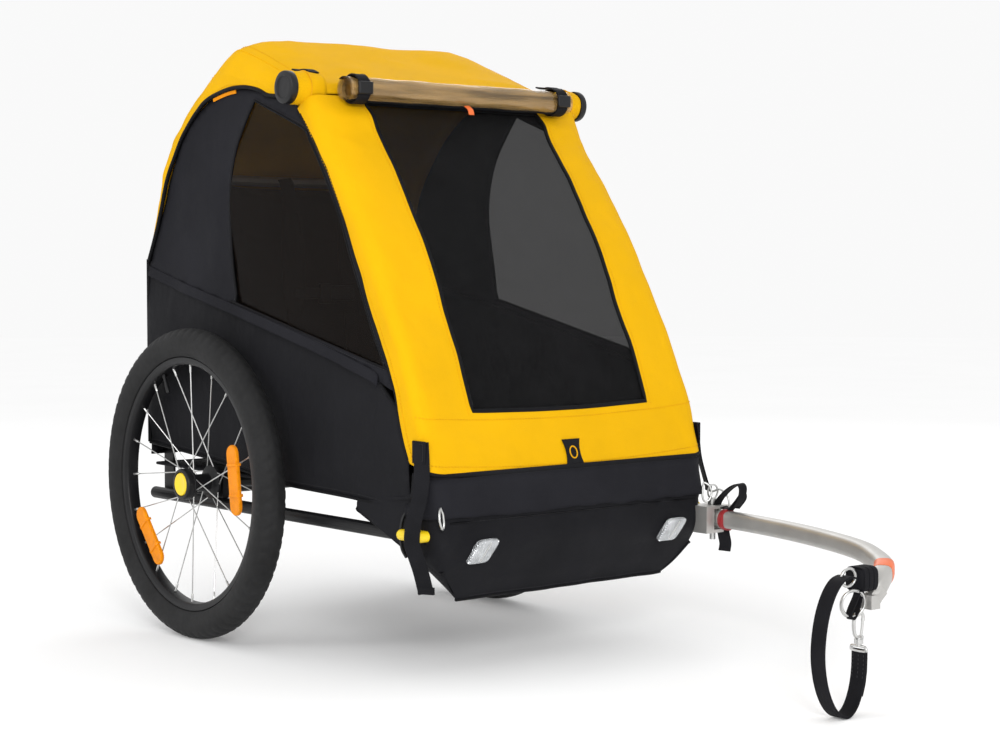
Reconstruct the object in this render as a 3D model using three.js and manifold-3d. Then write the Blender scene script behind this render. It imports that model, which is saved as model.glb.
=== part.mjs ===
// Child bicycle trailer: one seat under a fabric cabin, on two quick-release wheels, with a tow arm.
// Millimetres, +Z up. Forward is -Y and the trailer's left is +X. Every size below is measured with the
// wheel axis over Y = 0; the last lines move the whole trailer so that its box is centred on the origin.
import * as THREE from "three";
import { ConvexGeometry } from "three/addons/geometries/ConvexGeometry.js";
import { mergeVertices } from "three/addons/utils/BufferGeometryUtils.js";
import Module from "manifold-3d";

const wasm = await Module();
wasm.setup();

// ---- driving dimensions ----
const GAP = 0.4; // clearance between touching pieces

const TYRE_R = 250; // 20 inch wheel, 47-406
const RIM_OUTER_R = 204;
const RIM_INNER_R = 192;
const TRACK = 614; // between the two wheel planes
const HUB_FACE = 23.5; // the button stands this far outboard of the wheel plane
const AXLE_R = 6;
const AXLE_TUBE_R = 12;
const SPOKES = 20;

const SIDE_X = 268; // outer face of the cabin's sides
const CLOTH = 4; // side cloth
const SHEET = 5; // roof and front cover, with their hems
const RAIL_X = 252; // floor rails and cage legs share this plane
const RAIL_R = 10;
const RAIL_Z = 214;
const HOOP_X = 228;
const HOOP_R = 9;
const CROSSBAR_R = 12;
const CROSSBAR_END_R = 26; // padded ends of the front crossbar
const CAP_X = 297;
const ROLL_R = 22.5;
const ARM_R = 14;
const STRAP_W = 25;

// Points in the side view, as [Y, Z].
const AXLE = [0, TYRE_R];
const CAGE_PIVOT = [-540, 220];
const HOOP_PIVOT = [186, 300];
const CROSSBAR = [-253, 868];
const ROLL = [-306, 867];
const TOW_PIVOT = [280, -592, 205]; // X, Y, Z

// Outlines in the side view, as [Y, Z], each from its top or rear end to its front end.
const ROOF_TOP = [
  [205, 608], [193, 660], [180, 710], [166, 768], [149, 805], [133, 825], [100, 849], [68, 876], [36, 900],
  [-4, 931], [-32, 952], [-60, 964], [-92, 957], [-150, 932], [-205, 906], [-240, 889], [-258, 884.5],
];
const PIPING = [
  [196, 608], [168, 659], [151, 701], [134, 742], [101, 790], [69, 824], [37, 849], [6, 866], [-30, 875],
  [-69, 880], [-112, 879], [-147, 872], [-175, 862], [-228, 858],
];
const COVER_FRONT = [
  [-278, 858], [-302, 792], [-353, 731], [-404, 665], [-444, 603], [-479, 545], [-513, 485], [-540, 423],
  [-562, 370], [-581, 311],
];
const COVER_EDGE = [
  [-251, 838], [-304, 772], [-355, 697], [-404, 605], [-446, 518], [-489, 436], [-512, 366], [-529, 324],
];
const SEAM = [[203, 592], [105, 568], [-108, 522], [-301, 478], [-441, 441], [-462, 427], [-498, 396]];
const TUB_BOTTOM = [[203, 301], [103, 294], [15, 287], [-120, 272], [-218, 263], [-415, 257], [-527, 243]];
const WINDOW_REAR = [
  [-180, 846], [-129, 857], [-97, 818], [-73, 781], [-58, 736], [-54, 688], [-60, 633], [-76, 542],
];
const WINDOW_FRONT = 14; // width of the cloth border in front of the window
const FRONT_PANEL = [[-581, 303], [-588, 255], [-588, 200], [-576, 152], [-557, 123]];
const MESH_HALF_W = 172;
const MESH_Z = [397, 846];

const SIDES = { R: -1, L: 1 };

// ---- colours ----
const finish = (color, roughness, metalness = 0) =>
  new THREE.MeshStandardMaterial({ color, roughness, metalness });
const yellowCloth = finish(0xfccb0a, 0.75);
const blackCloth = finish(0x2d2d32, 0.85);
const mesh = finish(0x1a1a1a, 0.9);
const film = finish(0x3b3129, 0.2);
const clearVinyl = finish(0xb49b6a, 0.15);
const aluminium = finish(0xa5a3a0, 0.35, 1);
const blackPaint = finish(0x1c1c1e, 0.4, 0.3);
const steel = finish(0xc8c8c6, 0.25, 1);
const blackPlastic = finish(0x18181a, 0.5);
const yellowPlastic = finish(0xf2c40e, 0.4);
const tyreRubber = finish(0x1b1b1c, 0.85);
const amber = finish(0xe8780f, 0.25);
const silverReflector = finish(0xd8dadb, 0.2);
const redPlastic = finish(0xb3121b, 0.45);
const webbing = finish(0x222225, 0.8);

// ---- solids ----
const solid = (geometry) => {
  const bare = geometry.index ? geometry.clone() : mergeVertices(geometry);
  bare.deleteAttribute("normal");
  bare.deleteAttribute("uv");
  const merged = mergeVertices(bare, 1e-3);
  const wasmMesh = new wasm.Mesh({
    numProp: 3,
    vertProperties: new Float32Array(merged.attributes.position.array),
    triVerts: new Uint32Array(merged.index.array),
  });
  return new wasm.Manifold(wasmMesh);
};

const geometryOf = (manifold) => {
  const m = manifold.getMesh();
  return new THREE.BufferGeometry()
    .setAttribute("position", new THREE.BufferAttribute(new Float32Array(m.vertProperties), 3))
    .setIndex(new THREE.BufferAttribute(new Uint32Array(m.triVerts), 1));
};

const join = (...pieces) => geometryOf(pieces.map(solid).reduce((a, b) => a.add(b)));
const cut = (piece, ...tools) => geometryOf(tools.map(solid).reduce((a, b) => a.subtract(b), solid(piece)));
const common = (a, b) => geometryOf(solid(a).intersect(solid(b)));

// ---- shapes ----
const box = (x, y, z) =>
  new THREE.BoxGeometry(x[1] - x[0], y[1] - y[0], z[1] - z[0]).translate(
    (x[0] + x[1]) / 2,
    (y[0] + y[1]) / 2,
    (z[0] + z[1]) / 2,
  );

// A side-view outline pushed from x0 to x1.
const slab = (outline, x0, x1) => {
  const shape = new THREE.Shape(outline.map(([y, z]) => new THREE.Vector2(y, z)));
  const geometry = new THREE.ExtrudeGeometry(shape, { depth: Math.abs(x1 - x0), bevelEnabled: false });
  const axes = [new THREE.Vector3(0, 1, 0), new THREE.Vector3(0, 0, 1), new THREE.Vector3(1, 0, 0)];
  return geometry.applyMatrix4(new THREE.Matrix4().makeBasis(...axes)).translate(Math.min(x0, x1), 0, 0);
};

// A round bar from x0 to x1.
const rod = (r, x0, x1, [y, z], sides = 20) =>
  new THREE.CylinderGeometry(r, r, Math.abs(x1 - x0), sides)
    .rotateZ(Math.PI / 2)
    .translate((x0 + x1) / 2, y, z);

// An upright round bar from z0 to z1.
const post = (r, z0, z1, x, y, sides = 16) =>
  new THREE.CylinderGeometry(r, r, z1 - z0, sides).rotateX(Math.PI / 2).translate(x, y, (z0 + z1) / 2);

// A closed profile of [radius, distance outboard] turned about the wheel axis, outboard being -X.
const turned = (profile, sides) => {
  const points = [...profile, profile[0]].map(([r, along]) => new THREE.Vector2(r, along));
  return new THREE.LatheGeometry(points, sides).rotateZ(Math.PI / 2);
};

// The same for a profile that starts and ends on the axis.
const turnedSolid = (profile, sides) => {
  const points = profile.map(([r, along]) => new THREE.Vector2(r, along));
  return new THREE.LatheGeometry(points, sides).rotateZ(Math.PI / 2);
};

const round = (r, sides) => {
  const corners = Array.from({ length: sides }, (_, i) => (2 * Math.PI * i) / sides);
  return new THREE.Shape(corners.map((a) => new THREE.Vector2(r * Math.cos(a), r * Math.sin(a))));
};

// A section carried along a smooth curve through the points.
const swept = (section, points, steps) => {
  const corners = points.map((p) => new THREE.Vector3(...p));
  const extrudePath = new THREE.CatmullRomCurve3(corners, false, "centripetal");
  return new THREE.ExtrudeGeometry(section, { steps, extrudePath });
};

const tube = (r, points, steps, sides = 8) => swept(round(r, sides), points, steps);

const ring = (r, wire, centre) =>
  new THREE.TorusGeometry(r, wire, 8, 20).rotateX(Math.PI / 2).translate(...centre);

const shifted = (outline, dy, dz) => outline.map(([y, z]) => [y + dy, z + dz]);

// The outline moved sideways by a distance, to the left of its direction of travel.
const inset = (outline, distance) =>
  outline.map(([y, z], i) => {
    const [ya, za] = outline[Math.max(i - 1, 0)];
    const [yb, zb] = outline[Math.min(i + 1, outline.length - 1)];
    const length = Math.hypot(yb - ya, zb - za);
    return [y - ((zb - za) / length) * distance, z + ((yb - ya) / length) * distance];
  });

const sheetAlong = (outline, from, to) => [...inset(outline, from), ...inset(outline, to).reverse()];

// ---- assembly ----
const body = new THREE.Group();
const trailer = new THREE.Group();
trailer.add(body);

const put = (name, geometry, material, parent = body) => {
  const piece = new THREE.Mesh(geometry, material);
  piece.name = name;
  parent.add(piece);
};

// Two aluminium floor rails, and the cross tubes with the fittings that are welded to them.
function floorFrame() {
  const rear = 212;
  const front = -512;
  for (const [side, s] of Object.entries(SIDES)) {
    const rail = new THREE.CylinderGeometry(RAIL_R, RAIL_R, rear - front, 16);
    put(`floor_rail_${side}`, rail.translate(s * RAIL_X, (rear + front) / 2, RAIL_Z), aluminium);
  }
}

// The axle tube takes a wheel's axle in each end, and sits on the rails by two saddles.
function axleTube() {
  const end = SIDE_X;
  const bore = rod(AXLE_R + 0.8, -end - 1, end + 1, AXLE);
  const saddles = Object.values(SIDES).map((s) => {
    const x = [s * (RAIL_X - 11), s * (RAIL_X + 10)].sort((a, b) => a - b);
    return box(x, [-20, 20], [RAIL_Z + RAIL_R + GAP, TYRE_R + AXLE_TUBE_R - 3]);
  });
  put("axle_tube", cut(join(rod(AXLE_TUBE_R, -end, end, AXLE), ...saddles), bore), blackPaint);
}

// The rear cross tube carries a plate at each end, with the bolt that the seat-back hoop turns on.
function rearFrame() {
  const plate = 237.5;
  const [y, z] = HOOP_PIVOT;
  const pieces = [rod(HOOP_R, -plate - 1, plate + 1, [y + 3, RAIL_Z])];
  for (const s of Object.values(SIDES)) {
    const outline = [[y - 18, RAIL_Z - 9], [y + 14, RAIL_Z - 9], [y + 14, z + 16], [y - 14, z + 16]];
    pieces.push(slab(outline, s * plate, s * (plate + 4)), rod(5, s * 214, s * (plate + 1), HOOP_PIVOT, 12));
  }
  put("rear_frame", join(...pieces), blackPaint);
}

// A forked bracket on each rail's front end holds the cage leg's eye; the front tube joins the two.
function frontFrame() {
  const inner = 236;
  for (const [side, s] of Object.entries(SIDES)) {
    const low = RAIL_Z - RAIL_R;
    const innerCheek = [[-513, low], [-556, low], [-576, 250], [-576, 274], [-552, 274], [-513, 232]];
    const outerCheek = [[-513, low], [-550, low], [-556, 220], [-550, 236], [-513, 232]];
    const fork = join(
      slab(innerCheek, s * inner, s * (inner + 5)),
      slab(outerCheek, s * 263, s * SIDE_X),
      slab([[-513, low], [-523, low], [-523, 218], [-513, 224]], s * inner, s * SIDE_X),
    );
    put(`corner_bracket_${side}`, cut(fork, rod(5.8, s * 230, s * 272, CAGE_PIVOT, 12)), blackPaint);
  }
  put("front_tube", rod(HOOP_R, -inner + GAP, inner - GAP, [-564, 262]), aluminium);
}

// Each wheel is built with its plane on X = 0 and its outboard side towards -X.
function spokes() {
  const flanges = [{ r: 24.5, along: -34.5 }, { r: 22, along: 6.5 }];
  const end = RIM_INNER_R - 1.4;
  const sweep = 0.75; // angle in radians between a spoke's two ends, so that spokes cross
  return Array.from({ length: SPOKES }, (_, i) => {
    const { r, along } = flanges[i % 2];
    const rimAngle = (2 * Math.PI * i) / SPOKES;
    const hubAngle = rimAngle + (i % 4 < 2 ? sweep : -sweep);
    const a = new THREE.Vector3(-along, r * Math.cos(hubAngle), r * Math.sin(hubAngle));
    const b = new THREE.Vector3(i % 2 ? -2 : 2, end * Math.cos(rimAngle), end * Math.sin(rimAngle));
    const direction = b.clone().sub(a).normalize();
    const turn = new THREE.Quaternion().setFromUnitVectors(new THREE.Vector3(0, 1, 0), direction);
    const middle = a.clone().add(b).multiplyScalar(0.5);
    return new THREE.CylinderGeometry(1.2, 1.2, a.distanceTo(b), 4)
      .applyQuaternion(turn)
      .translate(middle.x, middle.y, middle.z);
  });
}

function wheel(side, s) {
  const group = new THREE.Group();
  group.position.set((s * TRACK) / 2, AXLE[0], AXLE[1]);
  group.rotation.z = s > 0 ? Math.PI : 0;
  body.add(group);

  const bead = RIM_OUTER_R + GAP;
  const tyre = [
    [bead, -13], [212, -19], [227, -23.5], [240, -20], [247.5, -11], [TYRE_R, 0],
    [247.5, 11], [240, 20], [227, 23.5], [212, 19], [bead, 13],
  ];
  const rim = [
    [RIM_INNER_R, -8], [197, -13.5], [RIM_OUTER_R, -13.5],
    [RIM_OUTER_R, 13.5], [197, 13.5], [RIM_INNER_R, 8],
  ];
  const hub = [[7, -37], [27.5, -37], [27.5, -32], [14, -29], [14, 2], [25, 4], [25, 9.5], [7, 9.5]];
  const cap = HUB_FACE - 1;
  const axle = [
    [0, -110], [AXLE_R, -110], [AXLE_R, 10], [25, 10], [25, 20],
    [22, cap], [19.4, cap], [19.4, 13], [0, 13],
  ];
  const button = [[0, 17.8], [18.7, 17.8], [18.7, 21.5], [15, HUB_FACE], [0, HUB_FACE]];

  put(`tyre_${side}`, turned(tyre, 36), tyreRubber, group);
  put(`rim_${side}`, turned(rim, 36), blackPaint, group);
  put(`spoked_hub_${side}`, join(turned(hub, 24), ...spokes()), steel, group);
  put(`axle_${side}`, turnedSolid(axle, 24), blackPlastic, group);
  put(`hub_button_${side}`, turnedSolid(button, 24), yellowPlastic, group);

  // Spoke reflectors lie along chords of the wheel, just outboard of the spokes.
  const reflector = new THREE.Shape();
  reflector.absarc(41, 0, 14, -Math.PI / 2, Math.PI / 2).absarc(-41, 0, 14, Math.PI / 2, (3 * Math.PI) / 2);
  for (const [letter, degrees] of [["a", 7], ["b", 220]]) {
    const turn = THREE.MathUtils.degToRad(degrees);
    const piece = new THREE.ExtrudeGeometry(reflector, { depth: 7, bevelEnabled: false, curveSegments: 5 })
      .rotateY(-Math.PI / 2)
      .translate(-9.5, -148, 0)
      .rotateX(-turn);
    put(`wheel_reflector_${side}${letter}`, piece, amber, group);
  }
}

// Floor board, footwell and the black front panel with its two reflectors.
function floor() {
  const front = -400;
  put("floor_pan", box([-236, 236], [front, 165], [264, 268]), blackCloth);

  const well = (inner) => {
    const t = inner ? SHEET : 0;
    const top = inner ? 300 : 262;
    const rim = [[235 - t, front - 3 - t], [235 - t, -548 + t]];
    const low = [[228 - t, -409 - t, 231 + t], [200 - t, -545 + t, 130 + t]];
    const points = [];
    for (const s of [-1, 1]) {
      rim.forEach(([x, y]) => points.push(new THREE.Vector3(s * x, y, top)));
      low.forEach(([x, y, z]) => points.push(new THREE.Vector3(s * x, y, z)));
    }
    return new ConvexGeometry(points);
  };
  put("footwell", cut(well(false), well(true)), blackCloth);

  const taper = [[-266, 310], [266, 310], [266, 290], [207, 118], [-207, 118], [-266, 290]];
  const sides = new THREE.Shape(taper.map(([x, z]) => new THREE.Vector2(x, z)));
  const plan = new THREE.ExtrudeGeometry(sides, { depth: 80, bevelEnabled: false }).rotateX(Math.PI / 2);
  const panel = slab(sheetAlong(FRONT_PANEL, 0, SHEET), -270, 270);
  put("front_panel", common(panel, plan.translate(0, -530, 0)), blackCloth);

  for (const [side, s] of Object.entries(SIDES)) {
    const x = [s * 168, s * 208].sort((a, b) => a - b);
    put(`front_reflector_${side}`, box(x, [-595.5, -588.6], [176, 214]), silverReflector);
  }
}

// Cabin sides: the black lower cloth, the upper cloth and the tinted window sewn into it.
function cabinSides() {
  const low = shifted(COVER_EDGE, 0.8, 0);
  const tub = [...shifted(SEAM, 0, -0.8), ...low.slice(6), ...[...TUB_BOTTOM].reverse()];
  const upper = [...shifted(PIPING, -0.8, -0.8), ...low.slice(0, 6), ...[...SEAM].reverse()];
  const edge = shifted(COVER_EDGE.slice(0, 6), WINDOW_FRONT, 0).reverse();
  const pane = [...WINDOW_REAR, [-464, 453], ...edge.slice(1)];
  for (const [side, s] of Object.entries(SIDES)) {
    const x0 = s * (SIDE_X - CLOTH);
    const x1 = s * SIDE_X;
    const barEnd = rod(CROSSBAR_END_R + GAP, s * 200, s * 320, CROSSBAR, 24);
    const corners = pane.map(([y, z]) => new THREE.Vector2(y, z));
    const centre = new THREE.Box2().setFromPoints(corners).getCenter(new THREE.Vector2());
    const smaller = corners.map((p) => p.sub(centre).multiplyScalar(0.996).add(centre).toArray());
    put(`tub_side_${side}`, slab(tub, x0, x1), blackCloth);
    put(`side_panel_${side}`, cut(slab(upper, x0, x1), slab(pane, s * 200, s * 300), barEnd), blackCloth);
    put(`side_window_${side}`, slab(smaller, x0 + s, x1 - s), film);
  }
}

// The yellow roof: one sheet from the rear panel over the roof hoop to the crossbar, with side cheeks.
function roof() {
  const x = SIDE_X + 1;
  const sheet = slab(sheetAlong(ROOF_TOP, 0, SHEET), -x, x);
  const cheekOutline = [...inset(ROOF_TOP, 0.5), ...[...PIPING].reverse()];
  const cheeks = Object.values(SIDES).map((s) => slab(cheekOutline, s * (x - SHEET), s * x));
  const barEnds = Object.values(SIDES).map((s) => rod(CROSSBAR_END_R + GAP, s * 235, s * 320, CROSSBAR, 24));
  const bar = rod(CROSSBAR_R + GAP, -x, x, CROSSBAR, 24);
  put("roof", cut(join(sheet, ...cheeks), ...barEnds, bar), yellowCloth);
  put("rear_panel", box([-262, 262], [201, 205], [282, 606]), blackCloth);
}

// Front cover: a yellow frame that wraps round the cage legs, with the mesh window in it. It hangs from
// the crossbar, and carries the rolled-up clear weather shield with its two straps.
function frontCover() {
  const x = SIDE_X + 2;
  const opening = box([-MESH_HALF_W, MESH_HALF_W], [-700, -200], MESH_Z);
  const netHalf = MESH_HALF_W - GAP;
  const netting = box([-netHalf, netHalf], [-700, -200], [MESH_Z[0] + GAP, MESH_Z[1] - GAP]);
  const sheet = slab(sheetAlong(COVER_FRONT, 0, SHEET), -x, x);
  const cheekOutline = [...inset(COVER_FRONT, 0.5), ...[...COVER_EDGE].reverse()];
  const cheeks = Object.values(SIDES).map((s) => slab(cheekOutline, s * (x - SHEET), s * x));
  const barEnds = Object.values(SIDES).map((s) => rod(CROSSBAR_END_R + GAP, s * 235, s * 320, CROSSBAR, 24));
  put("cover_frame", cut(join(sheet, ...cheeks), opening, ...barEnds), yellowCloth);
  put("cover_mesh", common(slab(sheetAlong(COVER_FRONT, 1.5, 3.5), -x, x), netting), mesh);

  put("weather_shield_roll", rod(ROLL_R, -214, 214, ROLL, 24), clearVinyl);
  for (const [side, s] of Object.entries(SIDES)) {
    const [inner, outer] = [ROLL_R + 0.6, ROLL_R + 2.8];
    const band = turned([[inner, -11], [outer, -11], [outer, 11], [inner, 11]], 24);
    put(`roll_strap_${side}`, band.translate(s * 199, ...ROLL), webbing);
  }
}

// The cage: two legs up the front, the crossbar between them and the hoop that holds up the roof.
function cage() {
  const [cy, cz] = CROSSBAR;
  const end = 26.9; // from the crossbar's axis to the leg's top face
  for (const [side, s] of Object.entries(SIDES)) {
    const x = s * RAIL_X;
    const leg = tube(
      RAIL_R,
      [
        [x, ...CAGE_PIVOT], [x, -552, 262], [x, -558, 302], [x, -546, 350], [x, -521, 412], [x, -494, 474],
        [x, -460, 534], [x, -425, 592], [x, -385, 654], [x, -334, 720], [x, -291, 776],
        [x, cy - end * 0.38, cz - end * 0.925],
      ],
      22,
    );
    const eye = rod(14, x - RAIL_R, x + RAIL_R, CAGE_PIVOT, 20);
    put(`cage_leg_${side}`, cut(join(leg, eye), rod(5.8, x - 20, x + 20, CAGE_PIVOT, 12)), aluminium);
    const cap = rod(CROSSBAR_END_R - 1.5, s * (285 + GAP), s * CAP_X, CROSSBAR, 24);
    put(`crossbar_cap_${side}`, cap, blackPlastic);
  }
  const ends = Object.values(SIDES).map((s) => rod(CROSSBAR_END_R, s * 236, s * 285, CROSSBAR, 24));
  put("crossbar", join(rod(CROSSBAR_R, -284, 284, CROSSBAR, 16), ...ends), yellowCloth);

  const arm = 222;
  const near = [cy + 12.4, cz + 3.6]; // just clear of the crossbar
  const half = [
    [arm, ...near], [arm, -160, 896], [arm, -88, 918], [arm - 14, -56, 928], [arm - 50, -50, 930],
  ];
  const mirror = [...half].reverse().map(([x, y, z]) => [-x, y, z]);
  put("roof_hoop", tube(8, [...half, [60, -50, 930], [-60, -50, 930], ...mirror], 36), aluminium);
}

// The hoop behind the seat back, with an eye on each foot.
function backHoop() {
  const [y, z] = HOOP_PIVOT;
  const half = [
    [HOOP_X, y, z], [HOOP_X, y, 430], [HOOP_X, y, 560], [HOOP_X, 172, 650], [HOOP_X, 153, 715],
    [HOOP_X - 14, 145, 740], [HOOP_X - 45, 143, 745],
  ];
  const mirror = [...half].reverse().map(([x, py, pz]) => [-x, py, pz]);
  const bend = tube(HOOP_R, [...half, [60, 143, 745], [-60, 143, 745], ...mirror], 44);
  const eyes = Object.values(SIDES).map((s) => rod(13, s * (HOOP_X - 9), s * (HOOP_X + 9), HOOP_PIVOT, 20));
  const holes = Object.values(SIDES).map((s) => rod(5.8, s * 200, s * 260, HOOP_PIVOT, 12));
  put("back_hoop", cut(join(bend, ...eyes), ...holes), aluminium);
}

// Seat cushion, seat back and the shoulder straps with their chest clip.
function seat() {
  const base = [[-215, 272], [-226, 300], [-206, 332], [60, 330], [85, 318], [85, 272]];
  const back = [[68, 342], [105, 336], [128, 742], [100, 752]];
  put("seat_base", slab(base, -195, 195), blackCloth);
  put("seat_back", slab(back, -190, 190), blackCloth);

  const strap = [[66, 345], [98, 748], [95, 748], [63, 345]];
  const clip = [[81, 560], [79.5, 541], [70.5, 541], [72, 560]];
  const straps = Object.values(SIDES).map((s) => slab(strap, s * 45, s * 75));
  put("harness", join(...straps, slab(clip, -60, 60)), webbing);
}

// A pin with a yellow end through each corner bracket and the cage leg's eye.
function cornerPins() {
  const [y, z] = CAGE_PIVOT;
  for (const [side, s] of Object.entries(SIDES)) {
    const pin = join(rod(5, s * 233, s * 280, [y, z], 12), rod(9, s * (SIDE_X + GAP), s * 292, [y, z], 16));
    put(`corner_pin_${side}`, pin, yellowPlastic);
  }
}

// The tow arm swings in a bracket under the left rail's front end, on a pin that lifts out.
function towBar() {
  const [x, y, z] = TOW_PIVOT;
  const reach = ARM_R + 2;
  const plate = 5;
  const top = [z + reach, z + reach + plate];
  const bottom = [z - reach - plate, z - reach];
  const bracket = join(
    box([246, 300], [y - 20, y + 20], top),
    box([246, 300], [y - 20, -478], bottom),
    box([246, x - reach - 1], [y - 20, y + 38], [bottom[0], top[1]]),
    box([246, 262], [-500, -478], [bottom[0], RAIL_Z - RAIL_R - GAP]),
  );
  put("tow_receiver", cut(bracket, post(5.6, z - 60, z + 60, x, y)), aluminium);

  const arm = tube(
    ARM_R,
    [
      [x, y - 6, z], [276, -660, z], [266, -760, 203], [250, -850, 200], [226, -935, 196], [196, -1000, 191],
      [166, -1042, 186], [140, -1058, 180], [126, -1061, 173],
    ],
    30,
    12,
  );
  const root = post(ARM_R, z - ARM_R, z + ARM_R, x, y, 20);
  put("tow_arm", cut(join(arm, root), post(5.6, z - 60, z + 60, x, y)), aluminium);

  const along = (from, to) => [[x - from * 0.052, y - from, z], [x - to * 0.052, y - to, z]];
  const band = cut(tube(ARM_R + 3.2, along(30, 41), 1, 16), tube(ARM_R + 1.2, along(20, 51), 1, 16));
  put("tow_band", band, redPlastic);

  const lift = join(post(5, z - 34, z + 30, x, y), post(8, z + reach + plate + GAP, z + 30, x, y));
  const loop = ring(11, 1.6, [x, y, z + 41]);
  put("tow_pin", join(lift, loop), steel);
}

// Coupler at the arm's tip, and the safety strap that hangs from it and hooks back up to it.
function hitch() {
  const y = -1052;
  const neck = tube(ARM_R - 3, [[118.5, -1061, 167], [112, -1060, 161], [106, -1059, 154]], 6, 10);
  put("hitch_coupler", join(neck, box([90, 108], [y - 18, y + 6], [143, 162])), aluminium);
  put("strap_keeper", box([70, 99], [y - 14, y + 14], [170, 197]), webbing);

  const section = new THREE.Shape();
  const w = STRAP_W / 2;
  const corners = [
    [w, 1.2], [w - 2, 1.5], [2 - w, 1.5], [-w, 1.2], [-w, -1.2], [2 - w, -1.5], [w - 2, -1.5], [w, -1.2],
  ];
  corners.forEach(([a, b], i) => (i ? section.lineTo(a, b) : section.moveTo(a, b)));
  const route = [
    [68, 187], [56, 189], [40, 184], [25, 168], [13, 143], [6, 112], [5, 80], [12, 47], [25, 21], [42, 5],
    [57, 3], [71, 14], [81, 35], [86, 60], [87, 88.6],
  ];
  put("safety_strap", swept(section, route.map(([x, z]) => [x, y, z]), 44), webbing);

  const bend = [[79, y, 101], [76, y, 112], [76, y, 128], [83, y, 139.5], [91, y, 136], [94, y, 128]];
  const hook = tube(2.4, bend, 18);
  const base = box([77, 94], [y - 5, y + 5], [90, 103]);
  const eye = box([74, 99], [y - 13, y + 13], [89.4, 93]);
  put("snap_hook", join(hook, base, eye), steel);
  put("hook_gate", tube(1.8, [[91, y, 104], [93.6, y, 126.5]], 1), steel);
}

floorFrame();
axleTube();
rearFrame();
frontFrame();
for (const [side, s] of Object.entries(SIDES)) wheel(side, s);
floor();
cabinSides();
roof();
frontCover();
cage();
backHoop();
seat();
cornerPins();
towBar();
hitch();

// The trailer stands on Z = 0 with its box centred on X = 0, Y = 0.
trailer.updateMatrixWorld(true);
const centre = new THREE.Box3().setFromObject(trailer).getCenter(new THREE.Vector3());
body.position.y = -centre.y;

export default trailer;
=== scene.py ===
import math

import bpy
import numpy as np
from mathutils import Matrix, Vector
from mathutils.geometry import delaunay_2d_cdt


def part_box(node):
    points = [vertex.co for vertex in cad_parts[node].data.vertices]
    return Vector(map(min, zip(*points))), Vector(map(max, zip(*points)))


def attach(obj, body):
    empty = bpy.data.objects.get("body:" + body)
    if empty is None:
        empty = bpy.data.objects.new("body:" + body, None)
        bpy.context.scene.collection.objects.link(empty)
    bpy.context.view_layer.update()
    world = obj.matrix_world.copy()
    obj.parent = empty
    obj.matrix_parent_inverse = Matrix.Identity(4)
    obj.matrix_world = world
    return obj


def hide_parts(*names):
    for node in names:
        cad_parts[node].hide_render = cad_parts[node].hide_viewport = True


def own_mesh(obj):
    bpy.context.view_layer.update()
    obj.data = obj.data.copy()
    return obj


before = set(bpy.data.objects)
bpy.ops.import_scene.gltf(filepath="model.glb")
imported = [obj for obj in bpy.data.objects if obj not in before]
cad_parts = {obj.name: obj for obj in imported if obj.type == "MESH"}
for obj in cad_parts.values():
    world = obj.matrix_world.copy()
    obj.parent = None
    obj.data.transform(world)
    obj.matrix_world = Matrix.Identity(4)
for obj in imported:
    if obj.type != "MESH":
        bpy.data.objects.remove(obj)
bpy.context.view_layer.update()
SIDES = {"R": -1, "L": 1}
AXLE_Y = sum(corner.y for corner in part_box("axle_tube")) / 2

# ---- sizes in mm; Y is measured from the wheel axis, as every outline below is ----
WHEEL = (307, 250)  # distance of the wheel plane from the middle, height of its axis
SIDE = 268  # the cabin sides' outer face
ROOF_TOP = [
    (205, 608), (193, 660), (180, 710), (166, 768), (149, 805), (133, 825), (100, 849), (68, 876),
    (36, 900), (-4, 931), (-32, 952), (-60, 963), (-92, 957), (-150, 932), (-205, 906), (-240, 889),
    (-258, 884), (-272, 877), (-279, 862),
]
PIPING = [
    (196, 608), (168, 659), (151, 701), (134, 742), (101, 790), (69, 824), (37, 849), (6, 866),
    (-30, 875), (-69, 880), (-112, 879), (-147, 872), (-175, 862), (-228, 858),
]
COVER_FRONT = [
    (-278, 858), (-302, 792), (-353, 731), (-404, 665), (-444, 603), (-479, 545), (-513, 485),
    (-540, 423), (-562, 370), (-581, 311),
]
COVER_EDGE = [
    (-251, 838), (-304, 772), (-355, 697), (-404, 605), (-446, 518), (-489, 436), (-512, 366),
    (-529, 324),
]
SEAM = [(203, 592), (105, 568), (-108, 522), (-301, 478), (-441, 441), (-462, 427), (-498, 396)]
TUB_BOTTOM = [(203, 301), (103, 294), (15, 287), (-120, 272), (-218, 263), (-415, 257), (-527, 243)]
WINDOW_REAR = [
    (-180, 846), (-129, 857), (-97, 818), (-73, 781), (-58, 736), (-54, 688), (-60, 633), (-76, 542),
]
MESH_HALF = 172
MESH_TOP, MESH_LOW = 846, 397
CROSSBAR = (-253, 868)
ROLL = (-306, 867)
BAND_X = 199  # the bands round the roll, out from the middle

# ---- camera ----
camera = bpy.data.objects.new("camera", bpy.data.cameras.new("camera"))
bpy.context.scene.collection.objects.link(camera)
bpy.context.scene.camera = camera
camera.data.lens = 72.07
camera.data.sensor_width = 36
camera.data.shift_y = -0.0038
camera.data.clip_start = 0.05
turn_z, tilt = math.radians(-39.75), math.radians(3.03)
camera.location = (-1.979, -2.373, 0.601)
camera.rotation_euler = (math.pi / 2 - tilt, 0, turn_z)


# ---- points ----
def mm(points):
    """Points in mm, measured from the wheel axis, as metres in the row frame."""
    placed = np.asarray(points, float).reshape(-1, 3) * 0.001
    placed[:, 1] += AXLE_Y
    return placed


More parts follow.
